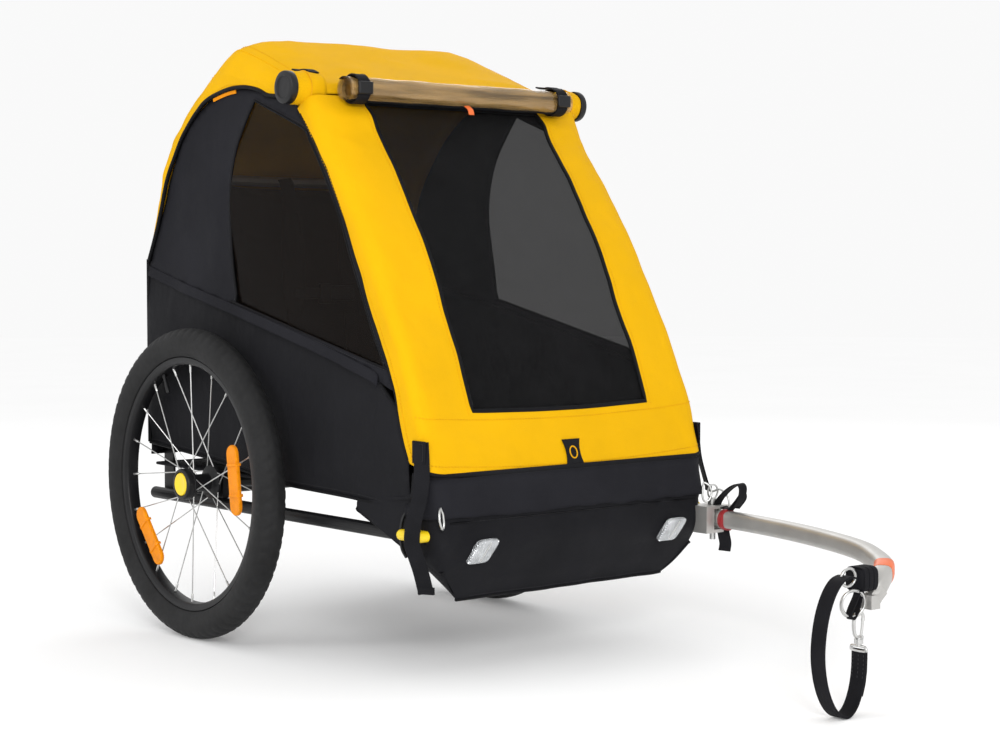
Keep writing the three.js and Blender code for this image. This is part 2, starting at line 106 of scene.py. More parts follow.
def resample(points, count):
    """Evenly spaced points on a smooth curve through the given ones."""
    p = np.asarray(points, float)
    ends = np.vstack([2 * p[0] - p[1], p, 2 * p[-1] - p[-2]])
    t = np.linspace(0, 1, 14, endpoint=False)[:, None]
    dense = [
        0.5 * (2 * b + (c - a) * t + (2 * a - 5 * b + 4 * c - d) * t**2 + (3 * b - a - 3 * c + d) * t**3)
        for a, b, c, d in zip(ends, ends[1:], ends[2:], ends[3:])
    ]
    return spaced(np.vstack([*dense, p[-1:]]), np.linspace(0, 1, count))


def spaced(line, shares):
    """Points of a polyline at the given shares of its length."""
    line = np.asarray(line, float)
    along = np.concatenate([[0], np.cumsum(np.linalg.norm(np.diff(line, axis=0), axis=1))])
    at = np.asarray(shares) * along[-1]
    return np.stack([np.interp(at, along, line[:, k]) for k in range(line.shape[1])], axis=1)


def ripple(points, wavelength, seed, waves=7):
    """A smooth uneven height over points, about 1 at most, for slack cloth."""
    rng = np.random.default_rng(seed)
    direction = rng.normal(size=(waves, 3))
    direction /= np.linalg.norm(direction, axis=1)[:, None]
    pitch = wavelength * rng.uniform(0.7, 1.6, waves)
    phase = rng.uniform(0, 2 * math.pi, waves)
    return np.sin(np.asarray(points) @ (direction / pitch[:, None]).T * 2 * math.pi + phase).mean(axis=1) * 2


def ease(x):
    x = np.clip(x, 0, 1)
    return x * x * (3 - 2 * x)


def folds(height, points, ridges):
    """height with soft ridges of cloth added, each (from, to, width, height) in the points' own plane."""
    p = np.asarray(points, float)
    for a, b, width, rise in ridges:
        a, b = np.asarray(a, float), np.asarray(b, float)
        d = b - a
        t = (p - a) @ d / (d @ d)
        off = np.linalg.norm(p - a - np.clip(t, 0, 1)[..., None] * d, axis=-1)
        height = height + rise * np.exp(-((off / width) ** 2)) * ease(4 * np.minimum(t + 0.15, 1.15 - t))
    return height


# ---- meshes ----
looks = {}


def build(name, points, faces, look, body, replaces=(), smooth=38, slot=None):
    """A mesh object from points in mm, riding on a CAD body."""
    mesh = bpy.data.meshes.new(name)
    mesh.from_pydata(mm(points).tolist(), [], faces)
    mesh.validate()
    mesh.shade_smooth()
    mesh.set_sharp_from_angle(angle=math.radians(smooth))
    piece = bpy.data.objects.new(name, mesh)
    bpy.context.scene.collection.objects.link(piece)
    piece.data.materials.append(looks[look])
    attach(piece, body)
    if replaces:
        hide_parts(*([replaces] if isinstance(replaces, str) else replaces))
    return piece


def woven(name, grid, look, body="frame", replaces=()):
    """A named mesh from a grid of points, rows first."""
    return build(name, grid.reshape(-1, 3), grid_faces(*grid.shape[:2]), look, body, replaces)


def modifier(piece, kind, **settings):
    made = piece.modifiers.new(kind.lower(), kind)
    for key, value in settings.items():
        setattr(made, key, value)
    return piece


def thick(piece, millimetres, offset=-1.0):
    return modifier(piece, "SOLIDIFY", thickness=millimetres * 0.001, offset=offset)


def squash(piece):
    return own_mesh(piece)


def face(piece, axis, sign):
    """Turns a sheet's faces round unless they look along an axis, the way that sign says."""
    if sum(p.normal[axis] * p.area for p in piece.data.polygons) * sign < 0:
        piece.data.flip_normals()
    return piece


def grid_faces(rows, cols, wrap_rows=False, wrap_cols=False, skip=None):
    faces = []
    for i in range(rows if wrap_rows else rows - 1):
        for j in range(cols if wrap_cols else cols - 1):
            if skip is None or not skip(i, j):
                a, b = i * cols + j, i * cols + (j + 1) % cols
                c = (i + 1) % rows * cols
                faces.append((a, b, c + (j + 1) % cols, c + j))
    return faces


def joined(parts):
    """Several (points, faces) as one."""
    points, faces, start = [], [], 0
    for p, f in parts:
        points.append(np.asarray(p, float))
        faces += [tuple(start + k for k in face) for face in f]
        start += len(p)
    return np.vstack(points), faces


def unit(v):
    v = np.asarray(v, float)
    return v / np.maximum(np.linalg.norm(v, axis=-1, keepdims=True), 1e-12)


def sweep(path, section, side=None, scale=None, closed=False):
    """A section carried along a path. Its first axis is side, or is carried along without twist."""
    p, section = np.asarray(path, float), np.asarray(section, float)
    if closed:
        tangent = unit(np.roll(p, -1, 0) - np.roll(p, 1, 0))
    else:
        tangent = unit(np.gradient(p, axis=0))
    first = np.array([0.0, 0.0, 1.0] if side is None else side)
    if side is None and abs(tangent[0] @ first) > 0.9:
        first = np.array([1.0, 0.0, 0.0])
    rows = []
    for k, (point, t) in enumerate(zip(p, tangent)):
        lead = first if side is None or np.ndim(side) == 1 else side[k]
        across = unit(lead - t * (t @ lead))
        if side is None:
            first = across
        over = np.cross(t, across)
        size = 1.0 if scale is None else scale[k]
        rows.append(point + size * (section[:, :1] * across + section[:, 1:] * over))
    n, m = len(rows), len(section)
    faces = grid_faces(n, m, wrap_rows=closed, wrap_cols=True)
    if not closed:
        faces += [tuple(reversed(range(m))), tuple(range((n - 1) * m, n * m))]
    return np.vstack(rows), faces


def shell(rings):
    """Rings of points as one closed skin."""
    n, m = len(rings), len(rings[0])
    faces = grid_faces(n, m, wrap_cols=True) + [tuple(range(m)), tuple(reversed(range((n - 1) * m, n * m)))]
    return np.vstack(rings), faces


def squared(angle, power):
    """The cosine and sine of an angle, drawn towards the corners of a square."""
    return [math.copysign(abs(v) ** power, v) for v in (math.cos(angle), math.sin(angle))]


def around(count):
    """Evenly spaced angles round a circle."""
    return np.linspace(0, 2 * math.pi, count + 1)[:-1]


def circle(r, sides=16):
    a = np.arange(sides) * 2 * math.pi / sides
    return np.stack([r * np.cos(a), r * np.sin(a)], axis=1)


def flat(width, height):
    """A strap's section, with its edges rounded."""
    w, h = width / 2, height / 2
    e = min(h, 0.8)
    return [(w, h - e), (w - e, h), (w / 3, h), (-w / 3, h), (e - w, h), (-w, h - e),
            (-w, e - h), (e - w, -h), (-w / 3, -h), (w / 3, -h), (w - e, -h), (w, e - h)]


def mirrored(s, points):
    """Points drawn for the left side, as they lie on the side s."""
    return np.asarray(points, float) * (s, 1, 1)


def strip(points, count, width, height, side):
    """A strap along a smooth curve through the given points."""
    return sweep(resample(points, count), flat(width, height), side=side)


def tube(path, r, sides=16, closed=False, scale=None):
    return sweep(path, circle(r, sides), closed=closed, scale=scale)


def lathe(profile, steps, centre, outboard, closed=True, bump=None):
    """A profile of (radius, distance outboard) turned about the X axis through centre."""
    a = np.arange(steps) * 2 * math.pi / steps
    p = np.asarray(profile, float)
    r = np.tile(p[:, 0], (steps, 1))
    if bump is not None:
        r = r + bump(a[:, None], p[None, :, 1], p[None, :, 0])
    x = centre[0] + outboard * np.tile(p[:, 1], (steps, 1))
    y = centre[1] + r * np.cos(a)[:, None] * outboard
    z = centre[2] + r * np.sin(a)[:, None]
    points = np.stack([x, y, z], axis=-1).reshape(-1, 3)
    return points, grid_faces(steps, len(p), wrap_rows=True, wrap_cols=closed)


def normals(grid):
    n = np.cross(np.gradient(grid, axis=0), np.gradient(grid, axis=1))
    return unit(n)


def stitches(name, lines, body, look="thread", pitch=5.5):
    """Sewn thread: short raised stitches along each (line, outward direction)."""
    parts = []
    for line, out in lines:
        line = np.asarray(line, float)
        length = np.linalg.norm(np.diff(line, axis=0), axis=1).sum()
        count = max(2, int(length / pitch))
        share = (np.arange(count) + 0.5) / count
        place = spaced(line, share)
        along = unit(spaced(line, np.minimum(share + 0.002, 1)) - spaced(line, share - 0.002))
        out = np.broadcast_to(np.asarray(out, float), line.shape)
        up = unit(spaced(np.hstack([line, out]), share)[:, 3:]) if out.shape == line.shape else out
        wide = unit(np.cross(along, up))
        half, r = pitch * 0.33, 0.55
        for c, t, u, w in zip(place, along, up, wide):
            c = c + u * 0.25
            ends = [c - t * half, c + t * half]
            ring = [c + t * half * k + a * r for k in (-0.6, 0.6) for a in (w, u, -w, -u)]
            faces = [(0, 2 + k, 2 + (k + 1) % 4) for k in range(4)]
            faces += [(1, 6 + (k + 1) % 4, 6 + k) for k in range(4)]
            faces += [(2 + k, 6 + k, 6 + (k + 1) % 4, 2 + (k + 1) % 4) for k in range(4)]
            parts.append((ends + ring, faces))
    points, faces = joined(parts)
    return build(name, points, faces, look, body)


def raised(grid, out, rows, cols, rise):
    """Part of a grid lifted off its sheet, with the way it faces, as stitches() takes it."""
    return grid[rows, cols] + out[rows, cols] * rise, out[rows, cols]


def patch(outline, spacing, hole=None):
    """A triangle mesh that fills an outline in a plane, around a hole: (points, faces)."""
    edge = spaced_loop(outline, spacing)
    loops = [edge] if hole is None else [edge, spaced_loop(hole, spacing)]
    low, high = edge.min(0), edge.max(0)
    xs, ys = (np.arange(a + spacing / 2, b, spacing) for a, b in zip(low, high))
    inner = np.array([(x + (spacing / 2 if k % 2 else 0), y) for k, y in enumerate(ys) for x in xs])
    keep = inside(inner, edge)
    for loop in loops:
        keep &= gap_to(inner, loop) > spacing * 0.45
    if hole is not None:
        keep &= ~inside(inner, loops[1])
    corners, rims = [], []
    for loop in loops:
        start = len(corners)
        corners += [tuple(p) for p in loop]
        rims += [(start + k, start + (k + 1) % len(loop)) for k in range(len(loop))]
    points = [Vector(p) for p in corners + [tuple(p) for p in inner[keep]]]
    made, _, faces, *_ = delaunay_2d_cdt(points, rims, [], 0, 1e-4)
    made = np.array([tuple(p) for p in made])
    centres = np.array([made[list(f)].mean(0) for f in faces])
    wanted = inside(centres, edge)
    if hole is not None:
        wanted &= ~inside(centres, loops[1])
    return made, [tuple(f) for f, w in zip(faces, wanted) if w]


def spaced_loop(outline, spacing):
    loop = np.vstack([outline, outline[:1]])
    pieces = []
    for a, b in zip(loop, loop[1:]):
        n = max(1, round(float(np.linalg.norm(b - a)) / spacing))
        pieces.append(a + (b - a) * (np.arange(n) / n)[:, None])
    return np.vstack(pieces)


def inside(points, loop):
    x, y = points.T
    odd = np.zeros(len(points), bool)
    for (xa, ya), (xb, yb) in zip(loop, np.roll(loop, -1, 0)):
        if ya != yb:
            odd ^= ((ya > y) != (yb > y)) & (x < (xb - xa) * (y - ya) / (yb - ya) + xa)
    return odd


def gap_to(points, line):
    """How far each point in a plane is from a line's corners and the middles between them."""
    line = np.vstack([line, (line + np.roll(line, -1, 0)) / 2])
    best = np.full(len(points), np.inf)
    for start in range(0, len(line), 64):
        d = np.linalg.norm(points[:, None] - line[None, start:start + 64], axis=2)
        best = np.minimum(best, d.min(1))
    return best


# ---- materials ----
def colours(tree, factor, *stops):
    ramp = tree.nodes.new("ShaderNodeValToRGB")
    while len(ramp.color_ramp.elements) < len(stops):
        ramp.color_ramp.elements.new(0.5)
    for element, (place, colour) in zip(ramp.color_ramp.elements, stops):
        element.position, element.color = place, (*colour, 1)
    tree.links.new(factor, ramp.inputs["Fac"])
    return ramp.outputs["Color"]


def noise(tree, scale, detail=4, rough=0.6, stretch=(1, 1, 1)):
    place = tree.nodes.new("ShaderNodeTexCoord")
    mapping = tree.nodes.new("ShaderNodeMapping")
    mapping.inputs["Scale"].default_value = stretch
    tree.links.new(place.outputs["Object"], mapping.inputs["Vector"])
    made = tree.nodes.new("ShaderNodeTexNoise")
    made.inputs["Scale"].default_value = scale
    made.inputs["Detail"].default_value = detail
    made.inputs["Roughness"].default_value = rough
    tree.links.new(mapping.outputs["Vector"], made.inputs["Vector"])
    return made.outputs["Fac"]


def bands(tree, pitch, turn=(0, 0, 0)):
    """Ridges that pitch metres part, across a diagonal of the row frame."""
    place = tree.nodes.new("ShaderNodeTexCoord")
    mapping = tree.nodes.new("ShaderNodeMapping")
    mapping.inputs["Rotation"].default_value = turn
    tree.links.new(place.outputs["Object"], mapping.inputs["Vector"])
    made = tree.nodes.new("ShaderNodeTexWave")
    made.bands_direction = "DIAGONAL"
    made.inputs["Scale"].default_value = 2 * math.pi / (10 * pitch)
    made.inputs["Distortion"].default_value = 0
    tree.links.new(mapping.outputs["Vector"], made.inputs["Vector"])
    return made.outputs["Fac"]


def maths(tree, operation, a, b):
    node = tree.nodes.new("ShaderNodeMath")
    node.operation = operation
    for socket, value in zip(node.inputs, (a, b)):
        if isinstance(value, (int, float)):
            socket.default_value = value
        else:
            tree.links.new(value, socket)
    return node.outputs[0]


def weave(tree, pitch):
    """Two families of threads that cross on every plane of the row frame."""
    return maths(tree, "MAXIMUM", bands(tree, pitch), bands(tree, pitch, turn=(math.pi / 2, 0, 0)))


def spread(tree, factor, low, high):
    """A 0 to 1 value as one from low to high."""
    node = tree.nodes.new("ShaderNodeMapRange")
    node.inputs["To Min"].default_value, node.inputs["To Max"].default_value = low, high
    tree.links.new(factor, node.inputs["Value"])
    return node.outputs["Result"]


def material(name, base, rough, metal=0.0, tint=0.12, scale=9, roughs=0.06, bumps=(), alpha=None,
             stretch=(1, 1, 1), **fixed):
    """A Principled material: uneven colour and roughness by noise, and the given bumps.

    bumps are (height socket maker, distance in metres, strength); fixed are sockets by name."""
    made = bpy.data.materials.new(name)
    made.use_nodes = True
    tree = made.node_tree
    shader = tree.nodes["Principled BSDF"]
    shader.inputs["Metallic"].default_value = metal
    dark = tuple(c * (1 - tint) for c in base)
    light = tuple(min(1.0, c * (1 + tint * 0.6)) for c in base)
    uneven = noise(tree, scale, 6, 0.55, stretch)
    tree.links.new(colours(tree, uneven, (0.3, dark), (0.7, light)), shader.inputs["Base Color"])
    grain = noise(tree, scale * 6, detail=3)
    low, high = max(0.02, rough - roughs), min(1.0, rough + roughs)
    tree.links.new(spread(tree, grain, low, high), shader.inputs["Roughness"])
    for key, value in fixed.items():
        shader.inputs[key.replace("_", " ").title().replace("Ior", "IOR")].default_value = value
    below = None
    for height, distance, strength in bumps:
        node = tree.nodes.new("ShaderNodeBump")
        node.inputs["Distance"].default_value = distance
        node.inputs["Strength"].default_value = strength
        tree.links.new(height(tree), node.inputs["Height"])
        if below is not None:
            tree.links.new(below, node.inputs["Normal"])
        below = node.outputs["Normal"]
    if below is not None:
        tree.links.new(below, shader.inputs["Normal"])
    if alpha is not None:
        socket = shader.inputs["Alpha"]
        if callable(alpha):
            tree.links.new(alpha(tree), socket)
        else:
            socket.default_value = alpha
    looks[name] = made
    return made


def cloth(name, base, rough, pitch=0.0011, creases=0.3, **more):
    weaves = [(lambda t: noise(t, 9, 3, 0.5, (1, 1, 0.45)), 0.02, creases),
              (lambda t: noise(t, 70, 5), 0.0012, 0.35),
              (lambda t: weave(t, pitch), 0.0003, 0.5)]
    return material(name, base, rough, bumps=weaves, specular_ior_level=0.09, **more)


def netting_holes(tree):
    """Small open cells: mostly thread, with holes between."""
    return spread(tree, weave(tree, 0.0022), 0.5, 0.97)


BRUSHED = (lambda t: noise(t, 60, 3, 0.7, (1, 14, 14)), 0.0002, 0.25)
GRAIN = (lambda t: noise(t, 900, 2), 0.0001, 0.3)
cloth("yellow_cloth", (0.73, 0.395, 0.0008), 0.72, creases=0.32, tint=0.07, scale=5)
cloth("black_cloth", (0.0095, 0.0095, 0.0115), 0.62, creases=0.6, tint=0.25, scale=6)
cloth("grey_cloth", (0.0135, 0.0135, 0.017), 0.72, tint=0.22, scale=6)
cloth("webbing", (0.009, 0.009, 0.011), 0.65, pitch=0.0024, tint=0.3, scale=20)
cloth("piping", (0.005, 0.005, 0.006), 0.5, pitch=0.0016, tint=0.25, scale=20)
cloth("thread", (0.035, 0.035, 0.038), 0.6, pitch=0.0006, tint=0.2, scale=30)
cloth("orange_cloth", (0.80, 0.27, 0.004), 0.6)
cloth("yellow_thread", (0.72, 0.36, 0.006), 0.6, pitch=0.0006, tint=0.2, scale=30)
material("netting", (0.006, 0.006, 0.0065), 0.8, specular_ior_level=0.1, tint=0.3, scale=15,
         alpha=netting_holes)
material("window_film", (0.006, 0.004, 0.003), 0.09, tint=0.2, scale=3, roughs=0.03, alpha=0.68,
         specular_ior_level=0.05, bumps=[(lambda t: noise(t, 9, 2), 0.004, 0.35)])
# Amber tint of the vinyl; the strong colour noise stretched along the roll paints light streaks on it as
# highlights.
material("clear_vinyl", (0.38, 0.235, 0.085), 0.06, tint=0.96, scale=52, roughs=0.05, alpha=0.5,
         stretch=(0.12, 1.8, 1.8), specular_ior_level=0.9,
         bumps=[(lambda t: noise(t, 22, 3, 0.6, (0.3, 2, 2)), 0.006, 0.6)])
material("aluminium", (0.50, 0.49, 0.47), 0.45, 0.7, tint=0.08, scale=25, bumps=[BRUSHED])
material("steel", (0.60, 0.60, 0.59), 0.3, 0.95, tint=0.12, scale=40, bumps=[GRAIN])
material("black_paint", (0.007, 0.007, 0.008), 0.4, specular_ior_level=0.25, tint=0.3, scale=20, bumps=[GRAIN])
material("black_plastic", (0.008, 0.008, 0.009), 0.42, specular_ior_level=0.3, tint=0.3, scale=30,
         bumps=[GRAIN])
material("yellow_plastic", (0.86, 0.60, 0.008), 0.33, tint=0.08, scale=30, bumps=[GRAIN])
material("red_plastic", (0.30, 0.010, 0.014), 0.4, tint=0.2, scale=30, bumps=[GRAIN])
material("orange_plastic", (0.72, 0.13, 0.02), 0.4, tint=0.15, scale=30, bumps=[GRAIN])
material("tyre", (0.0105, 0.0105, 0.011), 0.75, specular_ior_level=0.3, tint=0.35, scale=18, roughs=0.12,
         bumps=[(lambda t: noise(t, 420, 3), 0.0004, 0.5)])
PRISMS = [(lambda t: bands(t, 0.0032), 0.0012, 0.7),
          (lambda t: bands(t, 0.0032, turn=(math.pi / 2, 0, 0)), 0.0012, 0.7)]
# Amber lens colour; the faint orange emission is a painted glow, since a reflector gives no light of its own.
material("amber_reflector", (0.95, 0.29, 0.002), 0.3, tint=0.2, emission_color=(1.0, 0.30, 0.0, 1),
         emission_strength=0.12, specular_ior_level=0.12, scale=60, bumps=PRISMS, coat_weight=0.08)
material("amber_film", (0.10, 0.05, 0.014), 0.2, tint=0.7, scale=22, alpha=0.7)
material("silver_reflector", (0.66, 0.68, 0.70), 0.14, 0.55, tint=0.3, scale=70, bumps=PRISMS,
         coat_weight=0.35)

# ---- safety strap ----
STRAP = [
    (68, 187), (56, 189), (40, 184), (25, 168), (13, 143), (6, 112), (5, 80), (12, 47), (25, 21),
    (42, 5), (57, 3), (71, 14), (81, 35), (86, 60), (87, 88.6),
]
HITCH_Y = -1052
strap_path = resample([(x, HITCH_Y, z) for x, z in STRAP], 61)
strap = build("strap", *sweep(strap_path, flat(25, 2.6), side=(0, 1, 0)), "webbing", "tow_arm", "safety_strap")


def loop_ring(centre, r, wire, axis):
    a = np.arange(40) * 2 * math.pi / 40
    u = unit(np.cross(axis, (0.31, 0.17, 0.93)))
    v = np.cross(unit(axis), u)
    path = np.asarray(centre, float) + r * (np.cos(a)[:, None] * u + np.sin(a)[:, None] * v)
    return tube(path, wire, 10, closed=True)


def rounded_box(low, high, r=2.0, puff=0.0):
    """A box with rounded edges, as a subdivided superellipsoid-like shell."""
    low, high = np.asarray(low, float), np.asarray(high, float)
    half, centre = (high - low) / 2, (low + high) / 2
    n = 9
    t = np.sin(np.linspace(-math.pi / 2, math.pi / 2, n))
    parts = []
    for axis in range(3):
        for sign in (-1, 1):
            u, v = np.meshgrid(t, t, indexing="ij")
            cube = np.zeros((n, n, 3))
            cube[..., axis] = sign
            cube[..., (axis + 1) % 3] = u
            cube[..., (axis + 2) % 3] = v
            p = cube * half
            core = np.clip(p, -(half - r), half - r)
            p = core + unit(p - core) * r
            bulge = puff * (1 - u**2) * (1 - v**2)
            p[..., axis] += sign * bulge
            f = grid_faces(n, n)
            if sign < 0:
                f = [tuple(reversed(q)) for q in f]
            parts.append(((p + centre).reshape(-1, 3), f))
    return joined(parts)


# Snap hook: a bent hook with a swivel eye, its gate, and the sewn strap end above them.
y = HITCH_Y
hook = resample([(83.5, y, 104), (78.5, y, 108), (76, y, 116), (76, y, 128), (79, y, 136), (85, y, 139.5),
                 (91, y, 137), (94.5, y, 131), (94, y, 126)], 40)
parts = [tube(hook, 2.6, 12), tube([(86, y, 93.2), (86, y, 98), (86, y, 104.5)], 4.2, 16)]
parts.append(sweep([(86, y, 96.5), (86, y, 98), (86, y, 101), (86, y, 102.5)], circle(6.2, 20)))
eye = resample([(86, y - 11, 92.5), (86, y - 13, 90), (86, y - 12, 87), (86, y, 86.2), (86, y + 12, 87),
                (86, y + 13, 90), (86, y + 11, 92.5), (86, y, 93.4)], 40)
parts.append(tube(eye, 1.9, 10, closed=True))
snap = build("hook_body", *joined(parts), "steel", "tow_arm", "snap_hook")
pieces = joined([tube([(90.5, y, 104), (92.6, y, 116), (94, y, 126.5)], 1.9, 12),
                 sweep([(90.4, y - 3, 104.2), (90.4, y + 3, 104.2)], circle(2.6, 16))])
gate = build("hook_gate_bar", *pieces, "steel", "hook_gate", "hook_gate")
lines = [(strap_path[-8:-1] + (off * 1.2, dy, 0), (off, 0, 0)) for dy in (-9, 0, 9) for off in (-1, 1)]
strap_thread = stitches("strap_thread", lines, "tow_arm")
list(mm((69, HITCH_Y, 187))[0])
mm(strap_path).tolist()

# ---- floor and light ----
GROUND_R = 14.0  # metres
floor = bpy.data.meshes.new("ground")
rim = [(GROUND_R * math.cos(a), GROUND_R * math.sin(a), 0) for a in around(48)]
floor.from_pydata(rim, [], [tuple(range(48))])
ground = bpy.data.objects.new("ground", floor)
bpy.context.scene.collection.objects.link(ground)
material("ground", (0.90, 0.90, 0.90), 0.85, tint=0.01, scale=2, specular_ior_level=0.0,
         emission_color=(1, 1, 1, 1), emission_strength=0.10)
ground.data.materials.append(looks["ground"])

world = bpy.data.worlds.new("studio")
bpy.context.scene.world = world
world.use_nodes = True
world.node_tree.nodes["Background"].inputs["Color"].default_value = (1, 1, 1, 1)
world.node_tree.nodes["Background"].inputs["Strength"].default_value = 0.95
bpy.context.scene.view_settings.view_transform = "Standard"


def lamp(name, place, size, power):
    data = bpy.data.lights.new(name, "AREA")
    data.shape, data.size, data.energy = "DISK", size, power
    made = bpy.data.objects.new(name, data)
    bpy.context.scene.collection.objects.link(made)
    made.location = place
    made.rotation_euler = (Vector((0, 0, 0.45)) - Vector(place)).to_track_quat("-Z", "Y").to_euler()


lamp("key", (-2.2, -3.4, 1.7), 1.1, 78)
lamp("rim", (-3.6, 0.6, 2.0), 1.4, 22)
lamp("back", (2.6, 2.6, 2.4), 1.8, 16)

# ---- CAD parts that stay: smooth shading and a finish ----
for names, look in (
    ("cage_leg_R cage_leg_L roof_hoop back_hoop tow_receiver", "aluminium"),
    ("axle_tube rear_frame corner_bracket_R corner_bracket_L floor_rail_R floor_rail_L front_tube",
     "black_paint"),
    ("tow_pin", "steel"),
    ("hitch_coupler", "aluminium"),
):
    for name in names.split():
        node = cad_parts[name]
        node.data.materials.clear()
        node.data.materials.append(looks[look])
        node.data.shade_smooth()
        node.data.set_sharp_from_angle(angle=math.radians(35))

# ---- wheels ----
TYRE = [
    (204.6, -12), (205.5, -15), (209, -18), (214, -20.4), (220, -22.4), (226, -23.4), (231, -23.2),
    (235, -22.4), (238, -21), (238.6, -20.6), (241.5, -19), (244.2, -16.4), (246.6, -13), (248.2, -10),
    (249.3, -6.5), (249.8, -3.2),
]
TYRE = TYRE + [(250, 0)] + [(r, -a) for r, a in reversed(TYRE)]
RIM = [(192, -7.5), (193, -10), (196.2, -12.6), (198, -13.2), (203.4, -13.5), (204, -12.8)]
RIM = RIM + [(r, -a) for r, a in reversed(RIM)]
HUB = [(7, -37), (26.6, -37), (27.5, -36), (27.5, -33.4), (26.4, -32.2), (17, -30.4), (14.4, -28),
       (14, 0), (15.5, 2.4), (23.6, 4), (25, 5.2), (25, 8.4), (24, 9.5), (7, 9.5)]
AXLE = [(0, -110), (5, -110), (6, -108.6), (6, 10), (24.2, 10), (25, 11), (25, 19), (24.3, 21.2),
        (22.6, 22.5), (19.8, 22.5), (19.3, 21.5), (19.2, 13), (0, 13)]
BUTTON = [(0, 17.8), (18.3, 17.8), (18.7, 18.4), (18.6, 20.8), (17.6, 22.6), (15.6, 23.4), (13.4, 23),
          (11, 22.2), (0, 21.8)]
SPOKES = 20
BLOCKS = 76


def tread(angle, along, r):
    """Grooves between small tread blocks, deepest at the shoulders."""
    shoulder = ease((np.abs(along) - 3.5) / 3) * ease((r - 236) / 3)
    phase = (angle / (2 * math.pi) * BLOCKS + np.abs(along) * 0.022) % 1
    groove = ease((0.34 - np.minimum(phase, 1 - phase) * 1.6) / 0.16)
    off_middle = np.abs(along)
    ring_groove = np.exp(-(((off_middle - 5.2) / 1.1) ** 2)) + np.exp(-(((off_middle - 14.6) / 1.2) ** 2))
    return -1.3 * shoulder * groove - 1.1 * ring_groove * (r > 240)


def wheel_point(s, along, ly, lz):
    return (s * (WHEEL[0] + along), -s * ly if s > 0 else ly, WHEEL[1] + lz)


def spoke_set(s):
    flanges = ((24.5, -34.5), (22, 6.5))
    end, sweep_angle = 191.5, 0.75
    parts = []
    for i in range(SPOKES):
        r, along = flanges[i % 2]
        rim_angle = 2 * math.pi * i / SPOKES
        hub_angle = rim_angle + (sweep_angle if i % 4 < 2 else -sweep_angle)
        a = wheel_point(s, along, r * math.cos(hub_angle), r * math.sin(hub_angle))
        b = wheel_point(s, 2 if i % 2 else -2, end * math.cos(rim_angle), end * math.sin(rim_angle))
        a, b = np.array(a), np.array(b)
        parts.append(tube([a, a * 0.5 + b * 0.5, b], 1.0, 8))
        t = unit(b - a)
        parts.append(tube([b - t * 13, b - t * 12, b - t * 3, b], 1.9, 8, scale=[0.7, 1, 1, 1.1]))
    return parts


def reflector(side, s, degrees, name):
    t = math.radians(degrees)
    radial = np.array([-math.cos(t), math.sin(t)])
    chord = np.array([math.sin(t), math.cos(t)])
    loops = []
    half = 12
    for inset, depth in ((1.6, 9.7), (0, 11), (0, 14.6), (1.2, 16.2), (3.4, 16.5)):
        a = np.concatenate([np.linspace(-90, 90, half), np.linspace(90, 270, half)])
        u = (14 - inset) * np.cos(np.radians(a)) + np.where(np.arange(2 * half) < half, 41, -41)
        v = (14 - inset) * np.sin(np.radians(a))
        loops.append([wheel_point(s, depth, *(radial * 148 + chord * uu + radial * vv)) for uu, vv in zip(u, v)])
    body = f"wheel_{side}"
    build(name, *shell(loops), "amber_reflector", body, f"wheel_reflector_{side}{name[-1]}")
    clips = []
    for off in (-24, 24):
        c = [wheel_point(s, d, *(radial * (148 + k) + chord * off)) for d, k in
             ((9.4, -15), (12, -15.6), (16.9, -12), (17.4, 0), (16.9, 12), (12, 15.6), (9.4, 15))]
        clips.append(sweep(resample(c, 24), flat(5, 1.4), side=(0, -s * chord[0], chord[1])))
    build(name.replace("lens", "clips"), *joined(clips), "amber_reflector", body)


for side, s in SIDES.items():
    centre = (s * WHEEL[0], 0, WHEEL[1])
    body = f"wheel_{side}"
    skin = lathe(TYRE, 6 * BLOCKS, centre, s, bump=tread)
    build(f"tyre_skin_{side}", *skin, "tyre", body, f"tyre_{side}", smooth=30)
    build(f"rim_hoop_{side}", *lathe(RIM, 128, centre, s), "black_paint", body, f"rim_{side}")
    build(f"hub_spokes_{side}", *joined(spoke_set(s)), "steel", body, f"spoked_hub_{side}")
    build(f"hub_shell_{side}", *lathe(HUB, 64, centre, s), "black_paint", body)
    cap, button = (lathe(profile, 64, centre, s, closed=False) for profile in (AXLE, BUTTON))
    build(f"axle_cap_{side}", *cap, "black_plastic", f"axle_{side}", f"axle_{side}")
    build(f"button_{side}", *button, "yellow_plastic", f"hub_button_{side}", f"hub_button_{side}")
    for letter, degrees in (("a", 7), ("b", 220)):
        reflector(side, s, degrees, f"lens_{side}_{letter}")
    valve = np.array([wheel_point(s, 0, r * math.cos(1.1), r * math.sin(1.1))
                      for r in (193, 186, 178, 166, 160)])
    build(f"valve_{side}", *tube(valve, 2.8, 12, scale=[1.3, 1.0, 1.0, 1.25, 0.9]), "black_plastic", body)

# ---- roof ----
def across(half, corner, cheeks):
    """Columns of a sheet that wraps round both sides: (X, drop towards the cheek, share of the cheek)."""
    columns = [(x, 0, 0) for x in half] + corner + [(corner[-1][0], corner[-1][1], k) for k in cheeks]
    return [(-x, d, k) for x, d, k in reversed(columns[1:])] + columns


def wrap(top, low, columns, corner_height):
    """A sheet whose rows follow the outline top, and whose cheeks reach down to the outline low."""
    grid = np.zeros((len(top), len(columns), 3))
    for i, (t, q) in enumerate(zip(top, low)):
        gap = np.linalg.norm(q - t)
        d = (q - t) / max(gap, 1e-9)
        k = min(1.0, gap / (corner_height * 1.25))
        for j, (x, drop, share) in enumerate(columns):
            w = drop * k if share == 0 else drop * k + (gap - drop * k) * share
            grid[i, j] = (x, *(t + d * w))
    return grid


